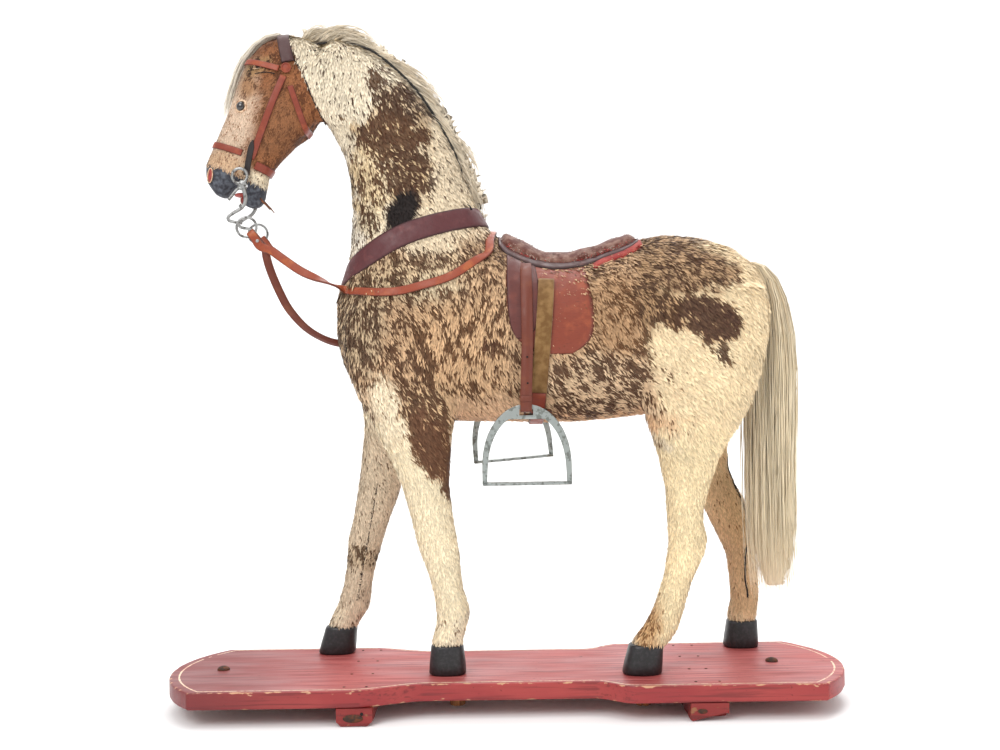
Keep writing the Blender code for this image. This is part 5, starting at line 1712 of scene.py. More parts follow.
@dataclass
class Bridle:
    """Leather of the head, the collar and the two rosettes."""

    surface: Surface
    width: float = 0.0082
    thick: float = 0.0024

    def build(self) -> None:
        """Make every strap of the head and the neck."""
        for side, tag in ((NEAR, "near"), (FAR, "far")):
            cheek = Strap(f"cheek_{tag}", self.width * 0.93, self.thick, Kit.TAN_RED, wobble=0.0003)
            path = side_path(self.surface, ((-233, 686), (-251, 644), (-268, 606), (-272, 599)), side)
            keep(cheek.lay(self.surface, path), "tan_leather", f"cheek_strap_{tag}")
            hang = Strap(
                f"hanger_{tag}", self.width * 0.8, self.thick * 1.15, Kit.BLACK, 0.0006, point_start=0.008
            )
            path = side_path(self.surface, ((-268, 618), (-273.5, 600), (-278, 583)), side)
            keep(hang.lay(self.surface, path), "black_leather", f"bit_hanger_{tag}")
            self.rosette(side, tag)
            self.eye(side, tag)
        self.hoop(
            "crown", (-229, 706), (-238, 746), -8, 188, 1.7, 1.3, Kit.BROWN, "brown_leather", "crown_strap"
        )
        self.hoop("brow", (-236, 694), (-277, 707), 4, 176, 0.85, 1, Kit.TAN, "tan_leather", "browband")
        self.hoop(
            "latch",
            (-226, 676),
            (-206, 614),
            2,
            178,
            0.8,
            1,
            Kit.TAN_RED,
            "tan_leather",
            "throat_latch",
            0.066,
        )
        self.hoop("nose", (-279, 604), (-313, 616), 6, 174, 0.9, 1, Kit.TAN_RED, "tan_leather", "noseband")
        self.hoop(
            "chin", (-274, 595), (-248, 582), 22, 158, 1.15, 1, Kit.TAN_RED, "brown_leather", "chin_strap"
        )
        self.collar()

    def hoop(
        self,
        name: str,
        middle: Station,
        facing: Station,
        start: float,
        end: float,
        wide: float,
        thick: float,
        finish: Kit,
        slot: str,
        node: str,
        reach: float = 0.055,
    ) -> None:
        """One strap round the head.

        Args:
            name: its name.
            middle: x and z of the turn's middle.
            facing: x and z of a point ahead of it.
            start: first angle.
            end: last angle.
            wide: its width in bridle widths.
            thick: its thickness in bridle thicknesses.
            finish: its leather.
            slot: its material slot.
            node: the plain piece it replaces.
            reach: how far out the surface is looked for.
        """
        path = hoop_path(
            self.surface, fig(middle[0], 0, middle[1]), plane_way(*middle, *facing), start, end, 60, reach
        )
        strap = Strap(name, self.width * wide, self.thick * thick, finish, wobble=0.0004)
        keep(strap.lay(self.surface, path), slot, node)

    def rosette(self, side: int, tag: str) -> None:
        """A small leather rosette where brow band and cheek strap meet.

        Args:
            side: near or far.
            tag: its word.
        """
        place = self.surface.side(-230, 695, side) + Vector((0, side * 0.0026, 0))
        disc = blob(f"rosette_disc_{tag}", place, Vector((0.0046, 0.0016, 0.0046)), Kit.TAN_RED)
        rim = tube(
            f"rosette_{tag}",
            circle(place + Vector((0, side * 0.0006, 0)), Vector((0.0048, 0, 0)), Vector((0, 0, 0.0048)), 28),
            0.0008,
            Kit.TAN_RED,
            8,
            True,
        )
        keep(joined(f"rosette_{tag}", [rim, disc]), "tan_leather")

    def eye(self, side: int, tag: str) -> None:
        """A glass eye in a rolled pale lid.

        Args:
            side: near or far.
            tag: its word.
        """
        node = NODES[f"eye_{tag}"]
        corners = [v.co for v in node.data.vertices]
        middle = sum(corners, Vector()) / len(corners)
        globe = blob(f"globe_{tag}", middle, Vector((0.0056, 0.0045, 0.0056)), Kit.GLASS)
        keep(globe, "eye_glass", f"eye_{tag}")
        points = []
        for k in range(36):
            a = 2 * math.pi * k / 36
            spot = middle + Vector((0.0068 * math.cos(a), 0, 0.0066 * math.sin(a)))
            met = self.surface.side(spot.x / MM, spot.z / MM, side)
            points.append((met if met is not None else spot) + Vector((0, side * 0.0004, 0)))
        lid = tube(f"lid_{tag}", softened(points, 3, True), 0.0013, Kit.LID, 8, True)
        keep(lid, "hide")

    def collar(self) -> None:
        """The broad burgundy strap round the base of the neck, with its black ties."""
        ahead = plane_way(-22, 528, -174, 466)
        lift = Vector((-ahead.z, 0, ahead.x))
        lift = -lift if lift.z < 0 else lift
        path = []
        for k in range(110):
            turn = 2 * math.pi * k / 110
            way = Vector((0, -1, 0)) * math.cos(turn) + ahead * math.sin(turn)
            middle = fig(-98, 0, 497) + lift * (0.014 * abs(math.cos(turn)))
            path.append((self.surface.around(middle, way), way))
        strap = Strap("collar", 0.024, 0.0034, Kit.BURGUNDY, closed=True, wobble=0.0006)
        keep(strap.lay(self.surface, path), "burgundy_leather", "neck_collar")
        places = []
        for s in (0, 1):
            way = (ahead * -1 + Vector((0, -0.35 * s, 0))).normalized()
            places.append(self.surface.around(fig(-98, 0, 497), way))
        for k, place in enumerate(places):
            up = self.surface.normal(place)
            side = up.cross(lift).normalized()
            line = [place + lift * 0.012 + up * 0.0045, place + lift * 0.016 + up * 0.006 + side * 0.0015]
            line.append(place + lift * 0.019 + up * 0.0045 + side * 0.003)
            keep(tube(f"collar_tie_{k}", line, [0.0012, 0.0009, 0.0004], Kit.THREAD, 8), "black_leather")


# Reins from the near bit ring over the withers to the far one: x, y, z and how flat they lie.
NEAR_REIN = (
    (-261, -33, 501, 0),
    (-250, -33, 497, 0),
    (-239, -34, 489, 0),
    (-218, -37, 474, 0.1),
    (-200, -44, 465, 0.5),
    (-184, -52, 458, 0.9),
)
FAR_REIN = (
    (-267, 33, 500, 0),
    (-262, 33, 480, 0),
    (-251, 34, 453, 0.1),
    (-240, 36, 433, 0.3),
    (-222, 40, 413, 0.5),
    (-200, 48, 400, 0.5),
    (-180, 56, 396, 0.3),
)
NEAR_REIN_ON_BODY = ((-168, 452), (-150, 449), (-127, 447), (-107, 448), (-87, 453), (-53, 463), (-25, 481))
FAR_REIN_ON_BODY = ((-160, 399), (-140, 405), (-115, 415), (-87, 431), (-53, 452), (-25, 478))
SHANK = (
    (-281, 571),
    (-278, 561),
    (-277, 552),
    (-281, 544),
    (-290, 538.5),
    (-296, 534),
    (-295, 530),
    (-288, 528),
    (-281, 527),
)
HOOK = ((-280, 566), (-286, 564), (-291, 558), (-295.5, 552.5))


@dataclass
class BitAndReins:
    """Curb bit, rein rings and the one long rein."""

    surface: Surface
    cheek_y: float = 0.0285
    wire: float = 0.0017
    ring_radius: float = 0.0108
    ring_wire: float = 0.0014
    rein_width: float = 0.0095
    rein_thick: float = 0.0022

    def at(self, side: int, x: float, z: float, out: float) -> Vector:
        """A station at a distance in metres from the horse's middle plane."""
        point = fig(x, 0, z)
        point.y = HORSE_Y + side * out
        return point

    def build(self) -> None:
        """Make the bit, the two rings and the rein."""
        parts = []
        for side in (NEAR, FAR):
            middle = self.at(side, -283, 578.6, self.cheek_y)
            parts.append(
                tube(
                    "ring",
                    circle(middle, Vector((0.0082, 0, 0)), Vector((0, 0, 0.0082)), 40),
                    self.wire,
                    Kit.BIT,
                    12,
                    True,
                )
            )
            places = spread([(x, 0.0, z) for x, z in SHANK], 1.4)
            line = [self.at(side, p.x, p.z, self.cheek_y) for p in places]
            sizes = [self.wire * (1.35 - 0.45 * k / len(line)) for k in range(len(line))]
            parts.append(tube("shank", line, sizes, Kit.BIT, 12))
            places = spread([(x, 0.0, z) for x, z in HOOK], 1.4)
            line = [self.at(side, p.x, p.z, self.cheek_y) for p in places]
            parts.append(tube("hook", line, self.wire, Kit.BIT, 12))
            middle = self.at(side, -280.5, 568.5, self.cheek_y)
            plate = blob("plate", middle, Vector((0.0052, 0.0019, 0.0058)), Kit.BIT)
            parts.append(plate)
        ends = [self.at(side, -283.5, 570.5, self.cheek_y) for side in (NEAR, FAR)]
        parts.append(tube("bar", ends, self.wire, Kit.BIT, 12))
        keep(joined("bit", parts), "bit_metal", "curb_bit")
        out = self.cheek_y + self.wire * 1.2 + self.ring_wire + 0.0006
        for side, tag in ((NEAR, "near"), (FAR, "far")):
            middle = self.at(side, -275.5, 522, out)
            line = circle(middle, Vector((self.ring_radius, 0, 0)), Vector((0, 0, self.ring_radius)), 48)
            ring = tube(f"ring_{tag}", line, self.ring_wire, Kit.BIT, 12, True)
            keep(ring, "bit_metal", f"rein_ring_{tag}")
        self.rein(out)

    def fold(self, side: int, out: float) -> list[Vector]:
        """The strap's fold round its ring, from the short end to the long side.

        Args:
            side: near or far.
            out: how far the ring hangs from the middle plane.
        Returns:
            Points on the middle of the strap.
        """
        middle = self.at(side, -275.5, 522, out)
        turn = FOLD_TURN
        radial = Vector((math.cos(turn), 0, math.sin(turn)))
        wire = middle + radial * (self.ring_radius - 0.0006)
        away = Vector((0, side, 0))
        around = self.ring_wire + self.rein_thick / 2 + 0.0012
        points = [wire + radial * d - away * around for d in (0.017, 0.012, 0.006)]
        for angle in range(90, 271, 20):
            a = math.radians(angle)
            points.append(wire + radial * around * math.cos(a) - away * around * math.sin(a))
        points.append(wire + radial * 0.006 + away * around)
        return points

    def rein(self, out: float) -> None:
        """The rein with its fold and rivet at each ring.

        Args:
            out: how far the rings hang from the middle plane.
        """
        halves = []
        for side, free, on_body in ((NEAR, NEAR_REIN, NEAR_REIN_ON_BODY), (FAR, FAR_REIN, FAR_REIN_ON_BODY)):
            points: list[Station] = [tuple(fig(x, y, z)) + (flat,) for x, y, z, flat in free]
            for x, z in on_body:
                place = self.surface.side(x, z, side)
                points.append((place.x, place.y + side * (self.rein_thick / 2 + 0.0018), place.z, 0.25))
            halves.append(points)
        top = []
        for angle in (-52, -30, 0, 30, 52):
            a = math.radians(angle)
            way = Vector((0, math.sin(a), math.cos(a)))
            place = self.surface.around(fig(-8 - 6 * abs(math.sin(a)), 0, 452), way)
            top.append(tuple(place + way * (self.rein_thick / 2 + 0.0014)) + (1.0,))
        near_fold = self.fold(NEAR, out)
        far_fold = self.fold(FAR, out)
        ends = [tuple(near_fold[-1]) + (0.0,), tuple(far_fold[-1]) + (0.0,)]
        rows = many([ends[0], *halves[0], *top, *halves[1][::-1], ends[1]], 170)
        line = near_fold[:-1] + [Vector(r[:3]) for r in rows] + far_fold[:-1][::-1]
        flats = [0.0] * (len(near_fold) - 1)
        flats += [min(max(r[3], 0.0), 1.0) for r in rows]
        flats += [0.0] * (len(far_fold) - 1)
        acrosses: list[Vector] = []
        last = len(line) - 1
        for i, flat in enumerate(flats):
            along = (line[min(i + 1, last)] - line[max(i - 1, 0)]).normalized()
            near = line[i].y < HORSE_Y
            face = Vector((0, -1 if near else 1, 0)) * (1 - flat) + Vector((0, 0, 1)) * flat
            if i < len(near_fold) - 1 or i > last - len(far_fold) + 1:
                turn = FOLD_TURN
                across = Vector((-math.sin(turn), 0, math.cos(turn)))
            else:
                across = along.cross(face).normalized()
            acrosses.append(across)
        for i in range(len(near_fold), len(line)):
            if acrosses[i].dot(acrosses[i - 1]) < 0:
                acrosses[i] = -acrosses[i]
        for i in range(len(near_fold) - 2, -1, -1):
            if acrosses[i].dot(acrosses[i + 1]) < 0:
                acrosses[i] = -acrosses[i]
        strap = Strap("rein", self.rein_width, self.rein_thick, Kit.TAN)
        parts = [strap.run(softened(line, 1), softened(acrosses, 4))]
        for side in (NEAR, FAR):
            spot = self.at(side, -263.5, 507, out + 0.0032)
            parts.append(blob("rivet", spot, Vector((0.0022, 0.0012, 0.0022)), Kit.BIT))
        keep(joined("rein", parts), "tan_leather", "reins")


SADDLE = (
    (-2, 497, 4),
    (6, 487, 14),
    (25, 477, 15),
    (50, 470, 11.5),
    (72, 470, 12),
    (92, 473, 12.5),
    (114, 481, 13),
    (132, 487, 13.5),
    (145, 494, 11),
    (152, 499, 4),
)
FLAP = (
    (468, 6, 91),
    (455, 5.5, 93),
    (440, 5.5, 95),
    (426, 6, 97.5),
    (411, 8, 98),
    (399, 13, 96),
    (391, 20, 92),
    (384, 32, 84),
    (378, 48, 74),
)
# The front panel of the flap, with its bulging rear edge; its leather is drawn darker as painted shade.
FRONT_PANEL = (
    (468, 7, 37),
    (450, 6.5, 40),
    (432, 6.8, 41.5),
    (416, 8, 40),
    (404, 11, 35),
    (395, 16, 28),
)


@dataclass
class Saddle:
    """Seat, skirt, lining, flaps, girth, stirrup leathers and stirrups."""

    hide: Hide

    def build(self) -> None:
        """Make every part of the saddle."""
        self.surface = self.hide.surface
        self.skirt()
        flaps = {side: self.flap(side, tag) for side, tag in ((NEAR, "near"), (FAR, "far"))}
        self.girth(Surface(self.hide.skin, *flaps.values()))
        for side, tag in ((NEAR, "near"), (FAR, "far")):
            self.leather(side, tag, Surface(self.hide.skin, flaps[side]))

    def over_back(self, x: float, low_z: float, share: float, count: int) -> list[tuple[Vector, Vector]]:
        """Points over the back at one x, down both sides to a share of the way to low_z.

        Args:
            x: millimetres along the toy.
            low_z: the height reached at share 1.
            share: how far down.
            count: how many points.
        Returns:
            Places with their outward directions.
        """
        middle = fig(x, 0, 430)
        reach = 1.45
        for k in range(1, 120):
            way = Vector((0, math.sin(k * 0.0125), math.cos(k * 0.0125)))
            if self.surface.around(middle, way).z < low_z * MM:
                reach = k * 0.0125
                break
        row = []
        for j in range(count):
            angle = (2 * j / (count - 1) - 1) * reach * share
            way = Vector((0, math.sin(angle), math.cos(angle)))
            row.append((self.surface.around(middle, way), way))
        return row

    def shell(
        self,
        name: str,
        grid: list[list[tuple[Vector, Vector]]],
        thick: Callable[[float, float], float],
        finish: Kit,
    ) -> bpy.types.Object:
        """A sheet over a grid of places, rounded along its rim.

        Args:
            name: its name.
            grid: rows of places with outward directions.
            thick: its thickness in metres at the row and column shares.
            finish: its material.
        Returns:
            The object.
        """
        solid = Solid(name)
        rows, cols = len(grid), len(grid[0])
        under: list[list[int]] = []
        over: list[list[int]] = []
        along = 0.0
        for i, row in enumerate(grid):
            if i:
                along += (row[cols // 2][0] - grid[i - 1][cols // 2][0]).length
            low, high = [], []
            across = 0.0
            for j, (place, way) in enumerate(row):
                if j:
                    across += (place - row[j - 1][0]).length
                edge = min(i, rows - 1 - i, j, cols - 1 - j)
                part = (0.55, 0.88, 0.98)[edge] if edge < 3 else 1.0
                size = thick(i / (rows - 1), j / (cols - 1))
                rim = 1.0 if edge == 0 else 0.35 if edge == 1 else 0.0
                low.append(solid.put(place - way * 0.0012, across, along, rim))
                high.append(solid.put(place + way * size * part, across, along, rim))
            under.append(low)
            over.append(high)
        for i in range(rows - 1):
            for j in range(cols - 1):
                solid.faces.append((under[i][j], under[i][j + 1], under[i + 1][j + 1], under[i + 1][j]))
                solid.faces.append((over[i][j], over[i + 1][j], over[i + 1][j + 1], over[i][j + 1]))
        rim_line = [(i, 0) for i in range(rows)] + [(rows - 1, j) for j in range(1, cols)]
        rim_line += [(i, cols - 1) for i in range(rows - 2, -1, -1)]
        rim_line += [(0, j) for j in range(cols - 2, 0, -1)]
        for (a, b), (c, d) in zip(rim_line, rim_line[1:] + rim_line[:1]):
            solid.faces.append((under[a][b], under[c][d], over[c][d], over[a][b]))
        return solid.done(finish)

    def skirt(self) -> None:
        """Leather skirt, padded plush seat and the red lining that shows at the rear."""
        rows = many(SADDLE, 44)
        grid = [self.over_back(x, low, 1.0, 41) for x, low, _ in rows]
        skirt = self.shell("skirt", grid, lambda i, j: 0.0038, Kit.BROWN)
        keep(skirt, "brown_leather", "saddle_skirt")
        grid = [self.over_back(x * 0.97 + 3, low, 0.74, 41) for x, low, _ in rows]

        def pad(i: float, j: float) -> float:
            """The seat's height: a roll at the pommel and cantle, thinner to its sides."""
            edge = abs(2 * j - 1)
            height = between(SADDLE, i)[2] * MM
            quilt = 0.0007 * math.sin(i * 38) * (1 - edge)
            return max(height * (1 - 0.5 * edge**3) + quilt, 0.0052)

        seat = self.shell("seat", grid, pad, Kit.PLUSH)
        piece = keep(seat, "plush", "saddle_seat")
        lining_rows = [(x, low - 5, rise) for x, low, rise in rows if x > 96]
        grid = [self.over_back(x + 2.5, low, 1.0, 41) for x, low, _ in lining_rows]
        lining = self.shell("lining", grid, lambda i, j: 0.0026, Kit.LINING)
        keep(lining, "plush")
        self.pile(seat, lining)

    def pile(self, seat: bpy.types.Object, lining: bpy.types.Object) -> None:
        """Short pile on the seat, and frayed red fibres along its edge and the lining's.

        Args:
            seat: the padded seat.
            lining: the cloth under its rear.
        """
        group = fur_group()
        blade = tuft_blade("fibre")
        for name, source, inner, outer in (
            ("seat_pile", seat, 120000.0, 900000.0),
            ("lining_fray", lining, 60000.0, 700000.0),
        ):
            obj = link(name, source.data.copy())
            mesh = obj.data
            count = len(mesh.vertices)
            rim = np.zeros(count, dtype=np.float32)
            mesh.attributes["rim"].data.foreach_get("value", rim)
            red = np.array(linear("#B23A34"), dtype=np.float32)
            dull = np.array(linear("#A38C7E"), dtype=np.float32)
            flow = np.zeros((count, 3), dtype=np.float32)
            brown = np.zeros(count, dtype=np.float32)
            for i, vertex in enumerate(mesh.vertices):
                spot = vertex.co * 90
                way = Vector((noise.noise(spot), noise.noise(spot + Vector((5, 5, 5))), -0.3))
                flow[i] = way.normalized()
                brown[i] = min(1.0, 0.2 + 0.8 * rim[i] + 0.5 * noise.noise(vertex.co * 60))
            shares = {
                "pale": ("FLOAT_COLOR", "color", np.tile(dull if name == "seat_pile" else red, count)),
                "dark": ("FLOAT_COLOR", "color", np.tile(red * 0.8, count)),
                "brown": ("FLOAT", "value", brown),
                "cover": ("FLOAT", "value", inner + (outer - inner) * rim),
                "hair": ("FLOAT", "value", np.full(count, 0.0032, dtype=np.float32)),
                "flow": ("FLOAT_VECTOR", "vector", flow.ravel()),
            }
            for key, (kind, what, values) in shares.items():
                mesh.attributes.new(key, kind, "POINT").data.foreach_set(what, values.astype(np.float32))
            group.grow(
                obj,
                {"Material": Kit.COAT.material, "Tuft": blade, "Seed": 21, "Width": 0.0007, "Lift": 0.9},
            )
            keep(obj, "plush")
        remove(blade)

    def skirt_low(self, x: float) -> float:
        """The height of the skirt's lower edge at one x."""
        for (x0, z0, _), (x1, z1, _) in zip(SADDLE, SADDLE[1:]):
            if x <= x1:
                return z0 + (z1 - z0) * (x - x0) / (x1 - x0)
        return SADDLE[-1][1]

    def flap(self, side: int, tag: str) -> bpy.types.Object:
        """One flap with its front panel, whose leather is drawn darker as painted shade.

        Args:
            side: near or far.
            tag: its word.
        Returns:
            The flap, for other pieces to rest on.
        """
        pieces = []
        for name, table, thick, base, finish in (
            ("flap", FLAP, 0.003, 0.0, Kit.FLAP),
            ("panel", FRONT_PANEL, 0.0011, 0.003, Kit.FLAP_FRONT),
        ):
            grid = []
            for z, front, rear in many(table, 30):
                row = []
                for j in range(22):
                    x = front + (rear - front) * j / 21
                    share = ((z - table[-1][0]) / (table[0][0] - table[-1][0])) ** 2
                    height = z + (self.skirt_low(x) + 2 - table[0][0]) * share
                    place = self.surface.side(x, height, side)
                    way = Vector((0, side, 0))
                    row.append((place + way * base, way))
                grid.append(row)
            pieces.append(self.shell(f"{name}_{tag}", grid, lambda i, j, t=thick: t, finish))
        keep(pieces[1], "tan_leather")
        return keep(pieces[0], "tan_leather", f"saddle_flap_{tag}")

    def girth(self, surface: Surface) -> None:
        """Webbing down both sides, its leather end and buckle under the belly.

        Args:
            surface: body and flaps.
        """
        spots = []
        count = 150
        for k in range(count):
            angle = math.radians(46 - 272 * k / (count - 1))
            way = Vector((0, -math.cos(angle), math.sin(angle)))
            middle = fig(43.5 + 7 * math.sin(angle), 0, 395)
            spots.append((middle, way, (surface.around(middle, way) - middle).length))
        path = []
        for k, (middle, way, _) in enumerate(spots):
            reach = max(spots[n][2] for n in range(max(k - 3, 0), min(k + 4, count)))
            path.append((middle + way * reach, way))
        places = softened([p for p, _ in path], 3)
        path = [(p + w * 0.001, w) for p, (_, w) in zip(places, path)]
        low = [k for k, (p, _) in enumerate(path) if p.z < 0.327]
        webbing = Strap("webbing", 0.017, 0.0019, Kit.WEBBING, wobble=0.0004)
        leather = Strap("girth_end", 0.0155, 0.0024, Kit.TAN_RED, 0.0012)
        parts = [webbing.lay(None, path), leather.lay(None, path[low[0] - 6 : low[-1] + 6])]
        keep(joined("girth_band", parts), "webbing", "girth")
        middle, way = path[low[0] + 4]
        frame_points = []
        for dx, dy in ((-14, -8), (14, -8), (14, 8), (-14, 8)):
            along = Vector((0, -way.z, way.y))
            frame_points.append(middle + Vector((dx * MM, 0, 0)) + along * dy * MM + way * 0.0042)
        line = []
        for a, b in zip(frame_points, frame_points[1:] + frame_points[:1]):
            line += [a.lerp(b, t) for t in (0.08, 0.36, 0.64, 0.92)]
        buckle = [tube("buckle", line, 0.0013, Kit.IRON, 8, True)]
        ends = [middle + way * 0.0048 - Vector((0.013, 0, 0)), middle + way * 0.0052 + Vector((0.014, 0, 0))]
        buckle.append(tube("tongue", ends, 0.001, Kit.IRON, 8))
        keep(joined("buckle", buckle), "dark_iron", "girth_buckle")

    def leather(self, side: int, tag: str, surface: Surface) -> None:
        """One stirrup leather, folded round the stirrup's top bar, and the stirrup.

        Args:
            side: near or far.
            tag: its word.
            surface: body and flap.
        """
        iron = Stirrup(side, tag)
        thick = 0.0024
        points = []
        for z in (476, 468, 460, 450, 440, 430, 420, 410, 400, 392):
            place = surface.side(27, z, side)
            points.append(Vector((0.027, place.y + side * (thick * 0.5 + 0.0014), z * MM)))
        widest = max(abs(p.y - HORSE_Y) for p in points)
        y = HORSE_Y + side * (widest + 0.0008)
        bar = iron.top(y)
        around = iron.bar_deep / 2 + thick / 2 + 0.0005
        start = points[-1]
        for share in (0.16, 0.33, 0.5, 0.67, 0.84):
            x = start.x + (bar.x - start.x) * share
            z = start.z + (bar.z + 0.004 - start.z) * share
            points.append(Vector((x, y + side * around * share, z)))
        front = len(points)
        under = -iron.bar_high / 2
        fold = [(around, 0.004)]
        for angle in range(20, 165, 20):
            a = math.radians(angle)
            fold.append((around * math.cos(a), under - (thick / 2 + 0.0005) * math.sin(a)))
        fold += [(-around, 0.004), (-around, 0.011), (-around, 0.018)]
        points += [bar + iron.tilted(Vector((0, side * out, rise))) for out, rise in fold]
        level = Vector((1, 0, 0))
        acrosses = [level] * front + [iron.tilted(level)] * len(fold)
        strap = Strap(f"stirrup_strap_{tag}", 0.0122, thick, Kit.TAN).run(points, acrosses)
        parts = [strap]
        # Two buckle holes in the strap, drawn as dark discs of painted shade.
        for z in (375.5, 348.0):
            spot = Vector((0.0265, y + side * (around * 0.55 + thick * 0.62), z * MM))
            parts.append(blob("hole", spot, Vector((0.0011, 0.0006, 0.0011)), Kit.PIT))
        loop_at = bar + iron.tilted(Vector((0, side * (around + thick * 0.6), 0.0085)))
        keeper = Strap("keeper", 0.006, 0.0013, Kit.TAN)
        ends = [loop_at + Vector((dx * MM, 0, 0)) for dx in (-6.4, -3, 0, 3, 6.4)]
        parts.append(keeper.run(ends, [Vector((0, 0, 1))] * 5))
        keep(joined(f"stirrup_strap_{tag}", parts), "tan_leather", f"stirrup_leather_{tag}")
        iron.build(y)


# Sections of the arch (share of its depth inwards, share of half its width) and of the tread.
ARCH_SECTION = ((0, -0.8), (0.06, -1), (0.94, -1), (1, -0.8), (1, 0.8), (0.94, 1), (0.06, 1), (0, 0.8))
TREAD_SECTION = ((-8, 0.2), (-7.6, -0.4), (7.6, -0.4), (8, 0.2), (8, 1.9), (7.6, 2.5), (-7.6, 2.5), (-8, 1.9))


@dataclass
class Stirrup:
    """A flat cast arch with a thin tread and a slot for its strap."""

    side: int
    tag: str
    width: float = 0.094
    height: float = 0.084
    bar: float = 0.0056
    deep: float = 0.0062
    bar_high: float = 0.0055
    bar_deep: float = 0.004
    slot_high: float = 0.0062
    slot_wide: float = 0.0145

    @property
    def turn(self) -> float:
        """How far it hangs turned, in radians."""
        return math.radians(4.5 if self.side == FAR else 0.0)

    def top(self, y: float) -> Vector:
        """The middle of its top bar."""
        x, rise = (24.5, 242.0) if self.side == NEAR else (6.0, 257.0)
        return Vector((x * MM, y, rise * MM + self.height - self.bar_high / 2))

    def tilted(self, offset: Vector) -> Vector:
        """An offset from the top bar, turned as the stirrup hangs."""
        return Matrix.Rotation(-self.turn, 3, "Y") @ offset

    def build(self, y: float) -> None:
        """Make the iron.

        Args:
            y: how far out it hangs, in metres.
        """
        bar = self.top(y)
        foot = self.bar_high / 2 - self.height
        half = self.width / 2
        straight = self.height * 0.21
        arch = self.height - straight
        steps = 56
        outer = [(-half, 0.0), (-half, straight * 0.5)]
        for k in range(steps + 1):
            a = math.pi - math.pi * k / steps
            outer.append((half * math.cos(a), straight + arch * max(math.sin(a), 0.0) ** 0.93))
        outer += [(half, straight * 0.5), (half, 0.0)]
        lower = self.height - (self.bar_high + self.slot_high + 0.004)
        solid = Solid(f"stirrup_{self.tag}")
        rings = []
        for x, z in outer:
            share = min(max(z / self.height, 0.0), 1.0)
            across = self.bar * (0.9 + 0.7 * share)
            inner = (x * (1 - across / half), min(z * (1 - 0.11 * share), lower))
            deep = self.deep / 2
            ring = []
            for u, v in ARCH_SECTION:
                px = x + (inner[0] - x) * u
                pz = z + (inner[1] - z) * u
                ring.append(solid.put(bar + Vector((px, deep * v, foot + pz))))
            rings.append(ring)
        solid.loops(rings)
        iron = solid.done(Kit.STIRRUP)
        slot_top = -self.bar_high / 2
        block = (self.slot_wide / 2, 0.02, self.slot_high / 2)
        self.cut(iron, bar, block, slot_top - self.slot_high / 2, 0.0)
        for side in (-1, 1):
            self.cut(iron, bar, (self.slot_wide / 2, 0.01, 0.01), 0.0, side * (self.bar_deep / 2 + 0.01))
        modify(iron, "BEVEL", width=0.0006, segments=2, limit_method="ANGLE", angle_limit=math.radians(40))
        tread = Solid("tread")
        rows = []
        for x in np.linspace(-half * 0.985, half * 0.985, 9):
            sag = 0.0006 * (1 - (x / half) ** 2)
            ring = []
            for v, w in TREAD_SECTION:
                ring.append(tread.put(bar + Vector((float(x), v * MM, foot + w * MM - sag * 0.3))))
            rows.append(ring)
        tread.loops(rows)
        piece = joined(f"stirrup_iron_{self.tag}", [iron, tread.done(Kit.STIRRUP)])
        for vertex in piece.data.vertices:
            vertex.co = bar + self.tilted(vertex.co - bar)
        for polygon in piece.data.polygons:
            polygon.use_smooth = True
        modify(piece, "WEIGHTED_NORMAL", keep_sharp=True)
        keep(piece, "stirrup_metal", f"stirrup_{self.tag}")

    def cut(self, iron: bpy.types.Object, bar: Vector, sizes: Station, rise: float, out: float) -> None:
        """Take a block away at the top bar.

        Args:
            iron: the arch.
            bar: the top bar's middle.
            sizes: the block's half-sizes.
            rise: its middle above the bar.
            out: its middle along y.
        """
        solid = Solid("cutter")
        x, y, z = sizes
        rings = []
        for level in (-z, z):
            corners = ((-x, -y), (x, -y), (x, y), (-x, y))
            rings.append([solid.put(bar + Vector((a, out + b, rise + level))) for a, b in corners])
        solid.loops(rings)
        block = solid.done(Kit.STIRRUP, smooth=False)
        modify(iron, "BOOLEAN", operation="DIFFERENCE", solver="EXACT", object=block)
        remove(block)


# The dark welt on the crest from the poll to the collar.
WELT = (
    (-206, 727),
    (-179, 729),
    (-155, 725),
    (-134, 716),
    (-101, 687),
    (-79, 659),
    (-57, 621),
    (-43, 588),
    (-36, 550),
)


# Torn stitch holes: x, z and half-length in millimetres.
STITCH_HOLES = ((-206, 716, 3.4), (-199, 716.5, 2.4), (-188, 715, 2.6), (-180, 713, 2.2), (-176, 712, 1.5))


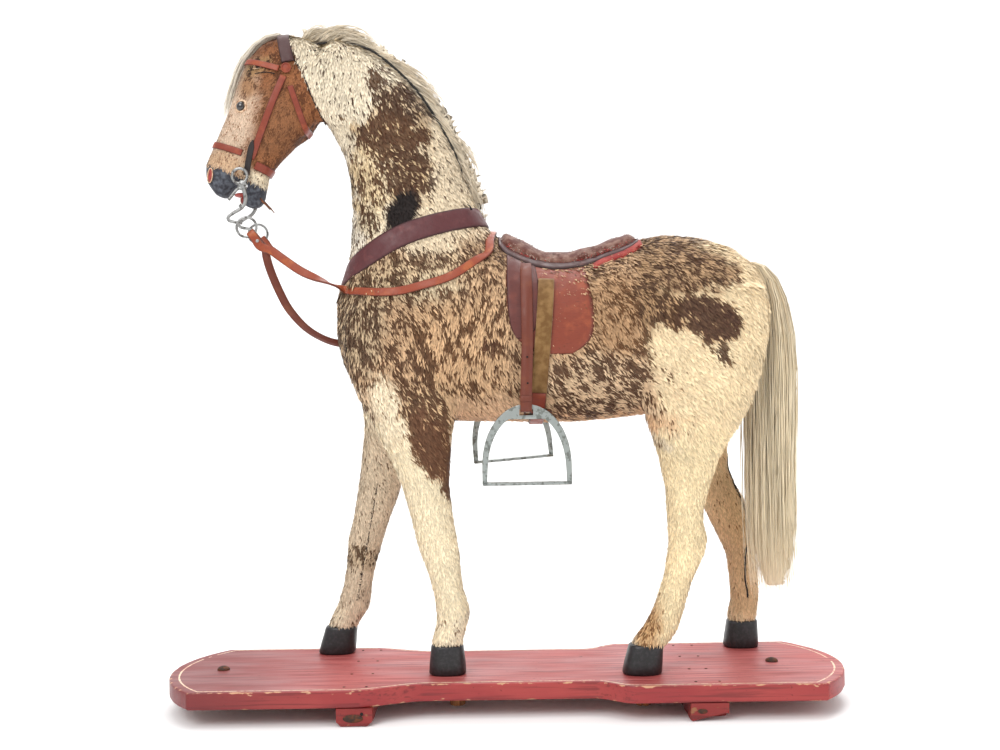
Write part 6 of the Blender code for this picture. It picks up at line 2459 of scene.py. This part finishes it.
@dataclass
class Head:
    """Painted muzzle details, the torn ear holes and the hide's seams."""

    surface: Surface

    def build(self) -> None:
        """Make the small parts of the head and every seam."""
        for side, tag in ((NEAR, "near"), (FAR, "far")):
            self.nostril(side, tag)
            self.ear(side, tag)
            jaw = ((-229, 716), (-213, 690), (-203, 663), (-190, 636))
            self.seam(f"jaw_seam_{tag}", side, jaw, 0.0009, 0.006)
            self.seam(f"ear_seam_{tag}", side, ((-264, 690), (-252, 691), (-243, 689)), 0.0006, 0.004)
        self.mouth()
        self.crest()
        self.leg_seams()

    def nostril(self, side: int, tag: str) -> None:
        """A red oval nostril with a pale rim.

        Args:
            side: near or far.
            tag: its word.
        """
        place = self.surface.side(-317.5, 581.6, side)
        if place is None:
            return
        up = self.surface.normal(place)
        lean = Vector((0.35, 0, 1)).normalized()
        tall = (lean - up * lean.dot(up)).normalized()
        wide = tall.cross(up).normalized()
        turn = Matrix((wide, tall, up)).transposed()
        pit = blob(f"nostril_{tag}", place + up * 0.0002, Vector((0.0034, 0.0072, 0.0009)), Kit.RED, turn)
        line = circle(place + up * 0.0006, wide * 0.0039, tall * 0.0079, 36)
        rim = tube("rim", line, 0.0006, Kit.LID, 8, True)
        keep(joined(f"nostril_{tag}", [pit, rim]), "hide")

    def ear(self, side: int, tag: str) -> None:
        """The hole where an ear was torn off, a dark disc of painted shade with frayed hide round it.

        Args:
            side: near or far.
            tag: its word.
        """
        place = self.surface.side(-261, 699, side)
        up = self.surface.normal(place)
        lean = Vector((1, 0, 0.35)).normalized()
        wide = (lean - up * lean.dot(up)).normalized()
        tall = wide.cross(up).normalized()
        turn = Matrix((wide, tall, up)).transposed()
        parts = [blob(f"ear_hole_{tag}", place, Vector((0.0038, 0.0024, 0.0008)), Kit.PIT, turn)]
        for k in range(14):
            a = 2 * math.pi * k / 14 + 0.2 * side
            edge = place + wide * 0.0044 * math.cos(a) + tall * 0.003 * math.sin(a) + up * 0.0004
            out = (wide * math.cos(a) + tall * math.sin(a)) * (0.0014 + 0.0012 * ((k * 7) % 5) / 4)
            line = [edge, edge + out * 0.6 + up * 0.0012, edge + out + up * 0.0014]
            parts.append(tube("fray", line, [0.0006, 0.0004, 0.0001], Kit.LID, 5))
        # Two nail holes beside it, also dark discs of painted shade.
        for dx, dz in ((-8.5, -2.5), (-11.5, -4.0)):
            spot = self.surface.side(-261 + dx, 699 + dz, side)
            parts.append(blob("nail_hole", spot, Vector((0.001, 0.0007, 0.001)), Kit.PIT))
        keep(joined(f"ear_hole_{tag}", parts), "hide")

    def mouth(self) -> None:
        """Teeth, red lip and rusty wire in the open mouth."""
        teeth = blob("teeth", fig(-302, 0, 565), Vector((0.0034, 0.0105, 0.0022)), Kit.ENAMEL)
        tongue = blob("tongue", fig(-287, 0, 561.5), Vector((0.0078, 0.0095, 0.0026)), Kit.RED)
        keep(joined("mouth_paint", [teeth, tongue]), "hide")
        for side, tag in ((NEAR, "near"), (FAR, "far")):
            place = self.surface.side(-284.5, 555.5, side)
            if place is None:
                continue
            lip = blob(f"lip_{tag}", place, Vector((0.0034, 0.0008, 0.0048)), Kit.RED)
            middle = place + Vector((0, side * 0.0004, 0))
            line = circle(middle, Vector((0.0037, 0, 0)), Vector((0, 0, 0.0051)), 28)
            keep(joined(f"lip_{tag}", [lip, tube("lip_rim", line, 0.0006, Kit.ENAMEL, 8, True)]), "hide")
            ends = [(-264, 556), (-260, 551), (-257, 548), (-253, 543)]
            wires = []
            for x, z in ends:
                spot = self.surface.side(min(x, -262), max(z, 549), side) or fig(x, side * 12, z)
                wires.append(Vector((x * MM, spot.y + side * 0.001, z * MM)))
            keep(tube(f"chin_wire_{tag}", wires, [0.0011, 0.001, 0.0009, 0.0005], Kit.RUST, 7), "dark_iron")

    def seam(self, name: str, side: int, stations: Sequence[Station], radius: float, step: float) -> None:
        """A waxed thread laid along the side of the hide with cross stitches.

        Args:
            name: its name.
            side: near or far.
            stations: x and z along it.
            radius: the thread's radius.
            step: between stitches, in metres.
        """
        path = side_path(self.surface, stations, side, 1.6)
        self.stitched(name, softened([p + w * 0.0006 for p, w in path], 2), radius, step)

    def stitched(self, name: str, line: list[Vector], radius: float, step: float) -> None:
        """A dark seam line with short cross threads.

        Args:
            name: its name.
            line: points along it.
            radius: the line's radius.
            step: between stitches, in metres.
        """
        ragged = [radius * (0.65 + 0.7 * abs(noise.noise(p * 400))) for p in line]
        cord = tube(name, line, ragged, Kit.THREAD, 6)
        thread = blob("thread", Vector(), Vector((0.0022, 0.0006, 0.0006)), Kit.THREAD)
        mesh = bpy.data.meshes.new(name + "_stitches")
        mesh.from_pydata([tuple(p) for p in line], [(i, i + 1) for i in range(len(line) - 1)], [])
        stitches = link(name + "_stitches", mesh)
        values = {"Material": Kit.THREAD.material, "Thread": thread, "Step": step, "Size": 1.0}
        stitch_group().grow(stitches, values)
        remove(thread)
        keep(joined(name, [cord, stitches]), "black_leather")

    def crest(self) -> None:
        """The dark welt along the crest, and below it near the poll the torn stitch holes as dark marks of
        painted shade.
        """
        line = [fig(p.x, -4.2, p.z) for p in spread([(x, 0.0, z) for x, z in WELT], 2.0)]
        keep(tube("crest_welt", line, 0.0014, Kit.THREAD, 8), "black_leather")
        holes = []
        for x, z, long in STITCH_HOLES:
            place = self.surface.side(x, z, NEAR)
            if place is None:
                continue
            up = self.surface.normal(place)
            wide = Vector((1, 0, -0.15)) - up * up.x
            wide.normalize()
            turn = Matrix((wide, up.cross(wide), up)).transposed()
            sizes = Vector((long * MM, 0.0013, 0.0008))
            # Each stitch hole is a dark mark of painted shade.
            holes.append(blob("stitch_hole", place + up * 0.0004, sizes, Kit.PIT, turn))
        keep(joined("stitch_holes", holes), "hide")

    def leg_seams(self) -> None:
        """The ragged seam down the rear of the far hind leg and the one inside the far foreleg."""
        line = []
        for z in np.linspace(262, 96, 70):
            place = self.surface.hit(Vector((0.34, HORSE_Y + 0.052, float(z) * MM)), Vector((-1, 0, 0)), 0.2)
            if place is not None:
                line.append(place + Vector((0.0002, -0.001, 0)))
        if line:
            self.stitched("hind_seam", softened(line, 3), 0.0014, 0.005)
        line = []
        for z in np.linspace(235, 100, 60):
            x = -144 - (235 - float(z)) * 0.2
            place = self.surface.hit(Vector((x * MM, HORSE_Y + 0.02, float(z) * MM)), Vector((0, 1, 0)), 0.1)
            if place is not None:
                line.append(place + Vector((0, -0.0002, 0)))
        if line:
            self.stitched("fore_seam", softened(line, 3), 0.0007, 0.006)


# Share of a hoof's height and how wide it is there.
HOOF_PROFILE = (
    (0.0, 0.93),
    (0.02, 0.97),
    (0.06, 1.0),
    (0.35, 0.97),
    (0.7, 0.915),
    (0.9, 0.885),
    (0.97, 0.86),
    (1.0, 0.8),
)


@dataclass
class Hooves:
    """Black painted wooden hooves."""

    height: float = 0.031

    def build(self) -> None:
        """Make four hooves over the plain ones."""
        table = (
            ("near_fore", -63.5, -46, 40, 35, 0),
            ("far_fore", -197, 65, 42, 35, 6),
            ("near_hind", 144, -58, 42, 35, 5),
            ("far_hind", 273, 66, 40, 35, 2),
        )
        for name, x, y, long, wide, lean in table:
            foot = fig(x, y, 37)
            solid = Solid(f"painted_hoof_{name}")
            rings = []
            for t, size in HOOF_PROFILE:
                ring = []
                for k in range(40):
                    a = 2 * math.pi * k / 40
                    cx = math.copysign(abs(math.cos(a)) ** 0.76, math.cos(a))
                    cy = math.copysign(abs(math.sin(a)) ** 0.76, math.sin(a))
                    wave = 1 + 0.012 * noise.noise(Vector((a * 2, t * 4, x)))
                    px = lean * MM * t + long * MM / 2 * size * cx * wave
                    place = Vector((px, wide * MM / 2 * size * cy * wave, 0.0003 + self.height * t))
                    ring.append(solid.put(foot + place))
                rings.append(ring)
            solid.loops(rings)
            keep(solid.done(Kit.HOOF), "black_paint", f"hoof_{name}")


@dataclass
class Platform:
    """The board with its pin-stripe, battens, pegs, bolts and nails."""

    length: float = 0.734
    width: float = 0.204
    waist: float = 0.158
    end_rise: float = 0.040
    bevel: float = 0.0016

    def outline(self, inset_side: float = 0.0, inset_end: float = 0.0) -> list[tuple[float, float]]:
        """The board's outline, anticlockwise from above, moved in from its edges.

        Args:
            inset_side: metres in from the long sides.
            inset_end: metres in from the arched ends.
        Returns:
            Points in metres.
        """
        full = self.width / 2
        waist = self.waist / 2
        side: list[tuple[float, float]] = []
        for start, reach, low, high in ((-0.1615, 0.078, full, waist), (0.0915, 0.041, waist, full)):
            for k in range(17):
                t = k / 16
                side.append((start + reach * t, low + (high - low) * t * t * (3 - 2 * t)))
        radius = (full * full + self.end_rise**2) / (2 * self.end_rise)
        middle = self.length / 2 - radius
        near_side = full - inset_side
        lesser = radius - inset_end
        reach = math.asin(min(near_side / lesser, 1.0))
        turns = [-reach + 2 * reach * k / 44 for k in range(45)]
        edge = [(x, y - inset_side) for x, y in side]
        points = [(x, -y) for x, y in edge]
        points += [(middle + lesser * math.cos(a), lesser * math.sin(a)) for a in turns]
        points += [(x, y) for x, y in reversed(edge)]
        points += [(-middle - lesser * math.cos(a), lesser * math.sin(-a)) for a in turns]
        return points

    def build(self) -> None:
        """Make every wooden part and fitting."""
        self.board()
        self.stripe()
        self.battens()
        self.fittings()

    def board(self) -> None:
        """The plank, its edges rounded and dented."""
        solid = Solid("board")
        rings = []
        b = self.bevel
        for inset, z, rim in (
            (b, BATTEN_TOP, 0.9),
            (0.3 * b, BATTEN_TOP + 0.3 * b, 1.0),
            (0.0, BATTEN_TOP + b, 0.5),
            (0.0, BATTEN_TOP + 0.006, 0.0),
            (0.0, BOARD_TOP - 0.006, 0.0),
            (0.0, BOARD_TOP - b, 0.6),
            (0.3 * b, BOARD_TOP - 0.3 * b, 1.0),
            (b, BOARD_TOP, 0.9),
            (b * 3, BOARD_TOP, 0.0),
        ):
            ring = []
            for x, y in self.outline():
                dent = 0.0011 * max(noise.noise(Vector((x * 45, y * 45, z * 30))) - 0.1, 0.0)
                size = math.hypot(x, y)
                pull = 1 - (inset + dent) / max(size, 0.05)
                share = 1 if abs(y) > 0.03 else abs(y) / 0.03
                py = y - math.copysign(inset + dent, y) * share
                ring.append(solid.put(Vector((x * pull, py, z - dent * 0.3)), 0, 0, rim))
            rings.append(ring)
        solid.loops(rings)
        board = solid.done(Kit.BOARD)
        modify(board, "WEIGHTED_NORMAL", keep_sharp=True)
        keep(board, "red_paint", "platform_board")

    def stripe(self) -> None:
        """The cream line painted round the top, worn away in places."""
        line = self.outline(0.0055, 0.0105)
        solid = Solid("stripe")
        count = len(line)
        for i, (x, y) in enumerate(line):
            before, after = line[i - 1], line[(i + 1) % count]
            along = Vector((after[0] - before[0], after[1] - before[1], 0))
            if along.length < 1e-6:
                along = Vector((1, 0, 0))
            side = Vector((-along.y, along.x, 0)).normalized()
            half = 0.0009 * (1 + 0.3 * noise.noise(Vector((x * 80, y * 80, 0))))
            for k in (-1, 1):
                solid.put(Vector((x, y, BOARD_TOP + 0.0001)) + side * half * k)
        for i in range(count):
            if noise.noise(Vector((line[i][0] * 60, line[i][1] * 60, 4))) > 0.36:
                continue
            j = (i + 1) % count
            solid.faces.append((2 * i, 2 * i + 1, 2 * j + 1, 2 * j))
        keep(solid.done(Kit.STRIPE), "red_paint")

    def battens(self) -> None:
        """The two cross battens, the rear one split at its near end."""
        for name, x, width, chamfer in (("front", -0.157, 0.038, 0.005), ("rear", 0.207, 0.040, 0.0015)):
            solid = Solid(f"batten_{name}")
            half = width / 2
            top = BATTEN_TOP - 0.0003
            rings = []
            for k in range(41):
                y = -self.width / 2 + self.width * k / 40
                inset = 0.0006 if k in (0, 40) else 0.0
                ring = []
                profile = [(-half + chamfer, 0), (half - chamfer, 0), (half, chamfer)]
                profile += [(half, top), (-half, top), (-half, chamfer)]
                for px, pz in profile:
                    low = 0.0
                    if name == "rear" and px > half - 0.020 - 0.001 and y < -self.width / 2 + 0.016:
                        low = 0.0075 + 0.0016 * noise.noise(Vector((px * 300, y * 900, 1)))
                    wave = 0.0005 * noise.noise(Vector((px * 90, y * 60, pz * 90)))
                    rim = 0.8 if pz in (0, chamfer, top) and k in (0, 1, 39, 40) else 0.35
                    across = x + px - math.copysign(inset, px) + wave
                    place = Vector((across, y, max(pz, low) + (inset if pz == 0 else 0)))
                    ring.append(solid.put(place, 0, 0, rim))
                rings.append(ring)
            solid.loops(rings)
            keep(solid.done(Kit.BATTEN, smooth=False), "batten_paint", f"axle_batten_{name}")

    def fittings(self) -> None:
        """Bolt heads, pegs, nail heads and the iron left at the battens' near ends."""
        for tag, x in (("front", -0.312), ("rear", 0.292)):
            head = blob(f"bolt_head_{tag}", Vector((x, 0, BOARD_TOP + 0.0003)), BOLT_HEAD, Kit.IRON)
            keep(head, "dark_iron", f"bolt_{tag}")
        for name, x, y, behind in (
            ("near_fore", -63.5, -46, 10),
            ("far_fore", -197, 65, 4),
            ("near_hind", 144, -58, 1),
            ("far_hind", 273, 66, 0),
        ):
            foot = fig(x + behind, y, 0)
            rows = ((0.0032, 0.0068), (0.0035, 0.0078), (0.0045, 0.0085), (0.0366, 0.0085))
            solid = Solid(f"peg_{name}")
            rings = []
            for z, radius in rows:
                ring = []
                for k in range(24):
                    a = 2 * math.pi * k / 24
                    split = 0.0022 if name == "near_hind" and k in (17, 18) and z < 0.03 else 0.0
                    size = radius - split + 0.0003 * noise.noise(Vector((a, z * 90, x)))
                    px, py = foot.x + size * math.cos(a), foot.y + size * math.sin(a)
                    ring.append(solid.put(Vector((px, py, z))))
                rings.append(ring)
            solid.loops(rings)
            keep(solid.done(Kit.PEG), "bare_wood", f"leg_peg_{name}")
        nails = []
        for x in (-0.168, -0.146, 0.197, 0.217):
            for y in (-0.086, -0.03, 0.03, 0.086):
                dx = 0.004 * noise.noise(Vector((x * 90, y * 90, 1)))
                spot = Vector((x + dx, y, BOARD_TOP + 0.0001))
                nails.append(blob("nail", spot, NAIL_HEAD, Kit.IRON))
        keep(joined("nail_heads", nails), "dark_iron")
        edge = -self.width / 2
        stub = Vector((-0.158, edge - 0.0002, 0.0085))
        iron = [blob("axle_stub", stub, Vector((0.0105, 0.0016, 0.0042)), Kit.IRON)]
        # The hole at the front batten's near end is a dark disc of painted shade.
        hole = Vector((-0.149, edge - 0.0004, 0.013))
        iron.append(blob("hole", hole, Vector((0.0017, 0.0008, 0.0017)), Kit.PIT))
        rust = Vector((0.199, edge - 0.0002, 0.0105))
        iron.append(blob("rust", rust, Vector((0.0052, 0.0010, 0.0026)), Kit.IRON))
        keep(joined("iron_remnants", iron), "dark_iron")


@dataclass
class Studio:
    """Pale sweep, soft lights and the camera at the photo's angle."""

    def build(self) -> None:
        """Set the stage."""
        solid = Solid("studio_sweep")
        profile = [(-3.0, 0.0), (1.0, 0.0)]
        profile += [(1.0 + math.sin(a), 1.0 - math.cos(a)) for a in np.linspace(0.08, math.pi / 2, 16)]
        profile.append((2.0, 4.0))
        rings = [[solid.put(Vector((x, float(y), float(z)))) for x in (-5.0, 5.0)] for y, z in profile]
        for a, b in zip(rings, rings[1:]):
            solid.faces.append((a[0], a[1], b[1], b[0]))
        floor = solid.done(Kit.FLOOR)
        world = bpy.data.worlds.new("studio")
        world.use_nodes = True
        sky = world.node_tree.nodes["Background"]
        sky.inputs[0].default_value = linear("#FFFFFF")
        sky.inputs[1].default_value = 0.85
        bpy.context.scene.world = world
        target = Vector((0, 0, 0.38))
        for name, place, size, power in (
            ("key", (-1.1, -1.9, 1.9), 1.3, 32),
            ("fill", (1.7, -1.5, 1.0), 1.8, 9),
            ("top", (0.0, 0.2, 2.3), 2.0, 26),
            ("back", (0.4, 1.0, 1.5), 1.5, 12),
        ):
            lamp = bpy.data.lights.new(name, "AREA")
            lamp.energy = power
            lamp.size = size
            obj = bpy.data.objects.new(name, lamp)
            obj.location = place
            obj.rotation_euler = (target - Vector(place)).to_track_quat("-Z", "Y").to_euler()
            bpy.context.scene.collection.objects.link(obj)
        view = bpy.data.cameras.new("camera")
        view.lens = LENS
        view.sensor_width = 36.0
        camera = bpy.data.objects.new("camera", view)
        camera.location = CAMERA_PLACE
        camera.rotation_euler = (math.pi / 2, CAMERA_ROLL, 0)
        bpy.context.scene.collection.objects.link(camera)
        bpy.context.scene.camera = camera
        bpy.context.scene.view_settings.view_transform = "Standard"


def main() -> None:
    """Build the toy, part by part, then the stage."""
    logging.basicConfig(level=logging.INFO, format="%(message)s")
    hide = Hide()
    hide.build()
    log.info("hide done")
    Horsehair(hide.surface).build()
    log.info("horsehair done")
    Saddle(hide).build()
    Bridle(hide.surface).build()
    BitAndReins(hide.surface).build()
    log.info("harness done")
    Head(hide.surface).build()
    Hooves().build()
    Platform().build()
    Studio().build()
    log.info("all pieces done")


if __name__ == "__main__":
    main()
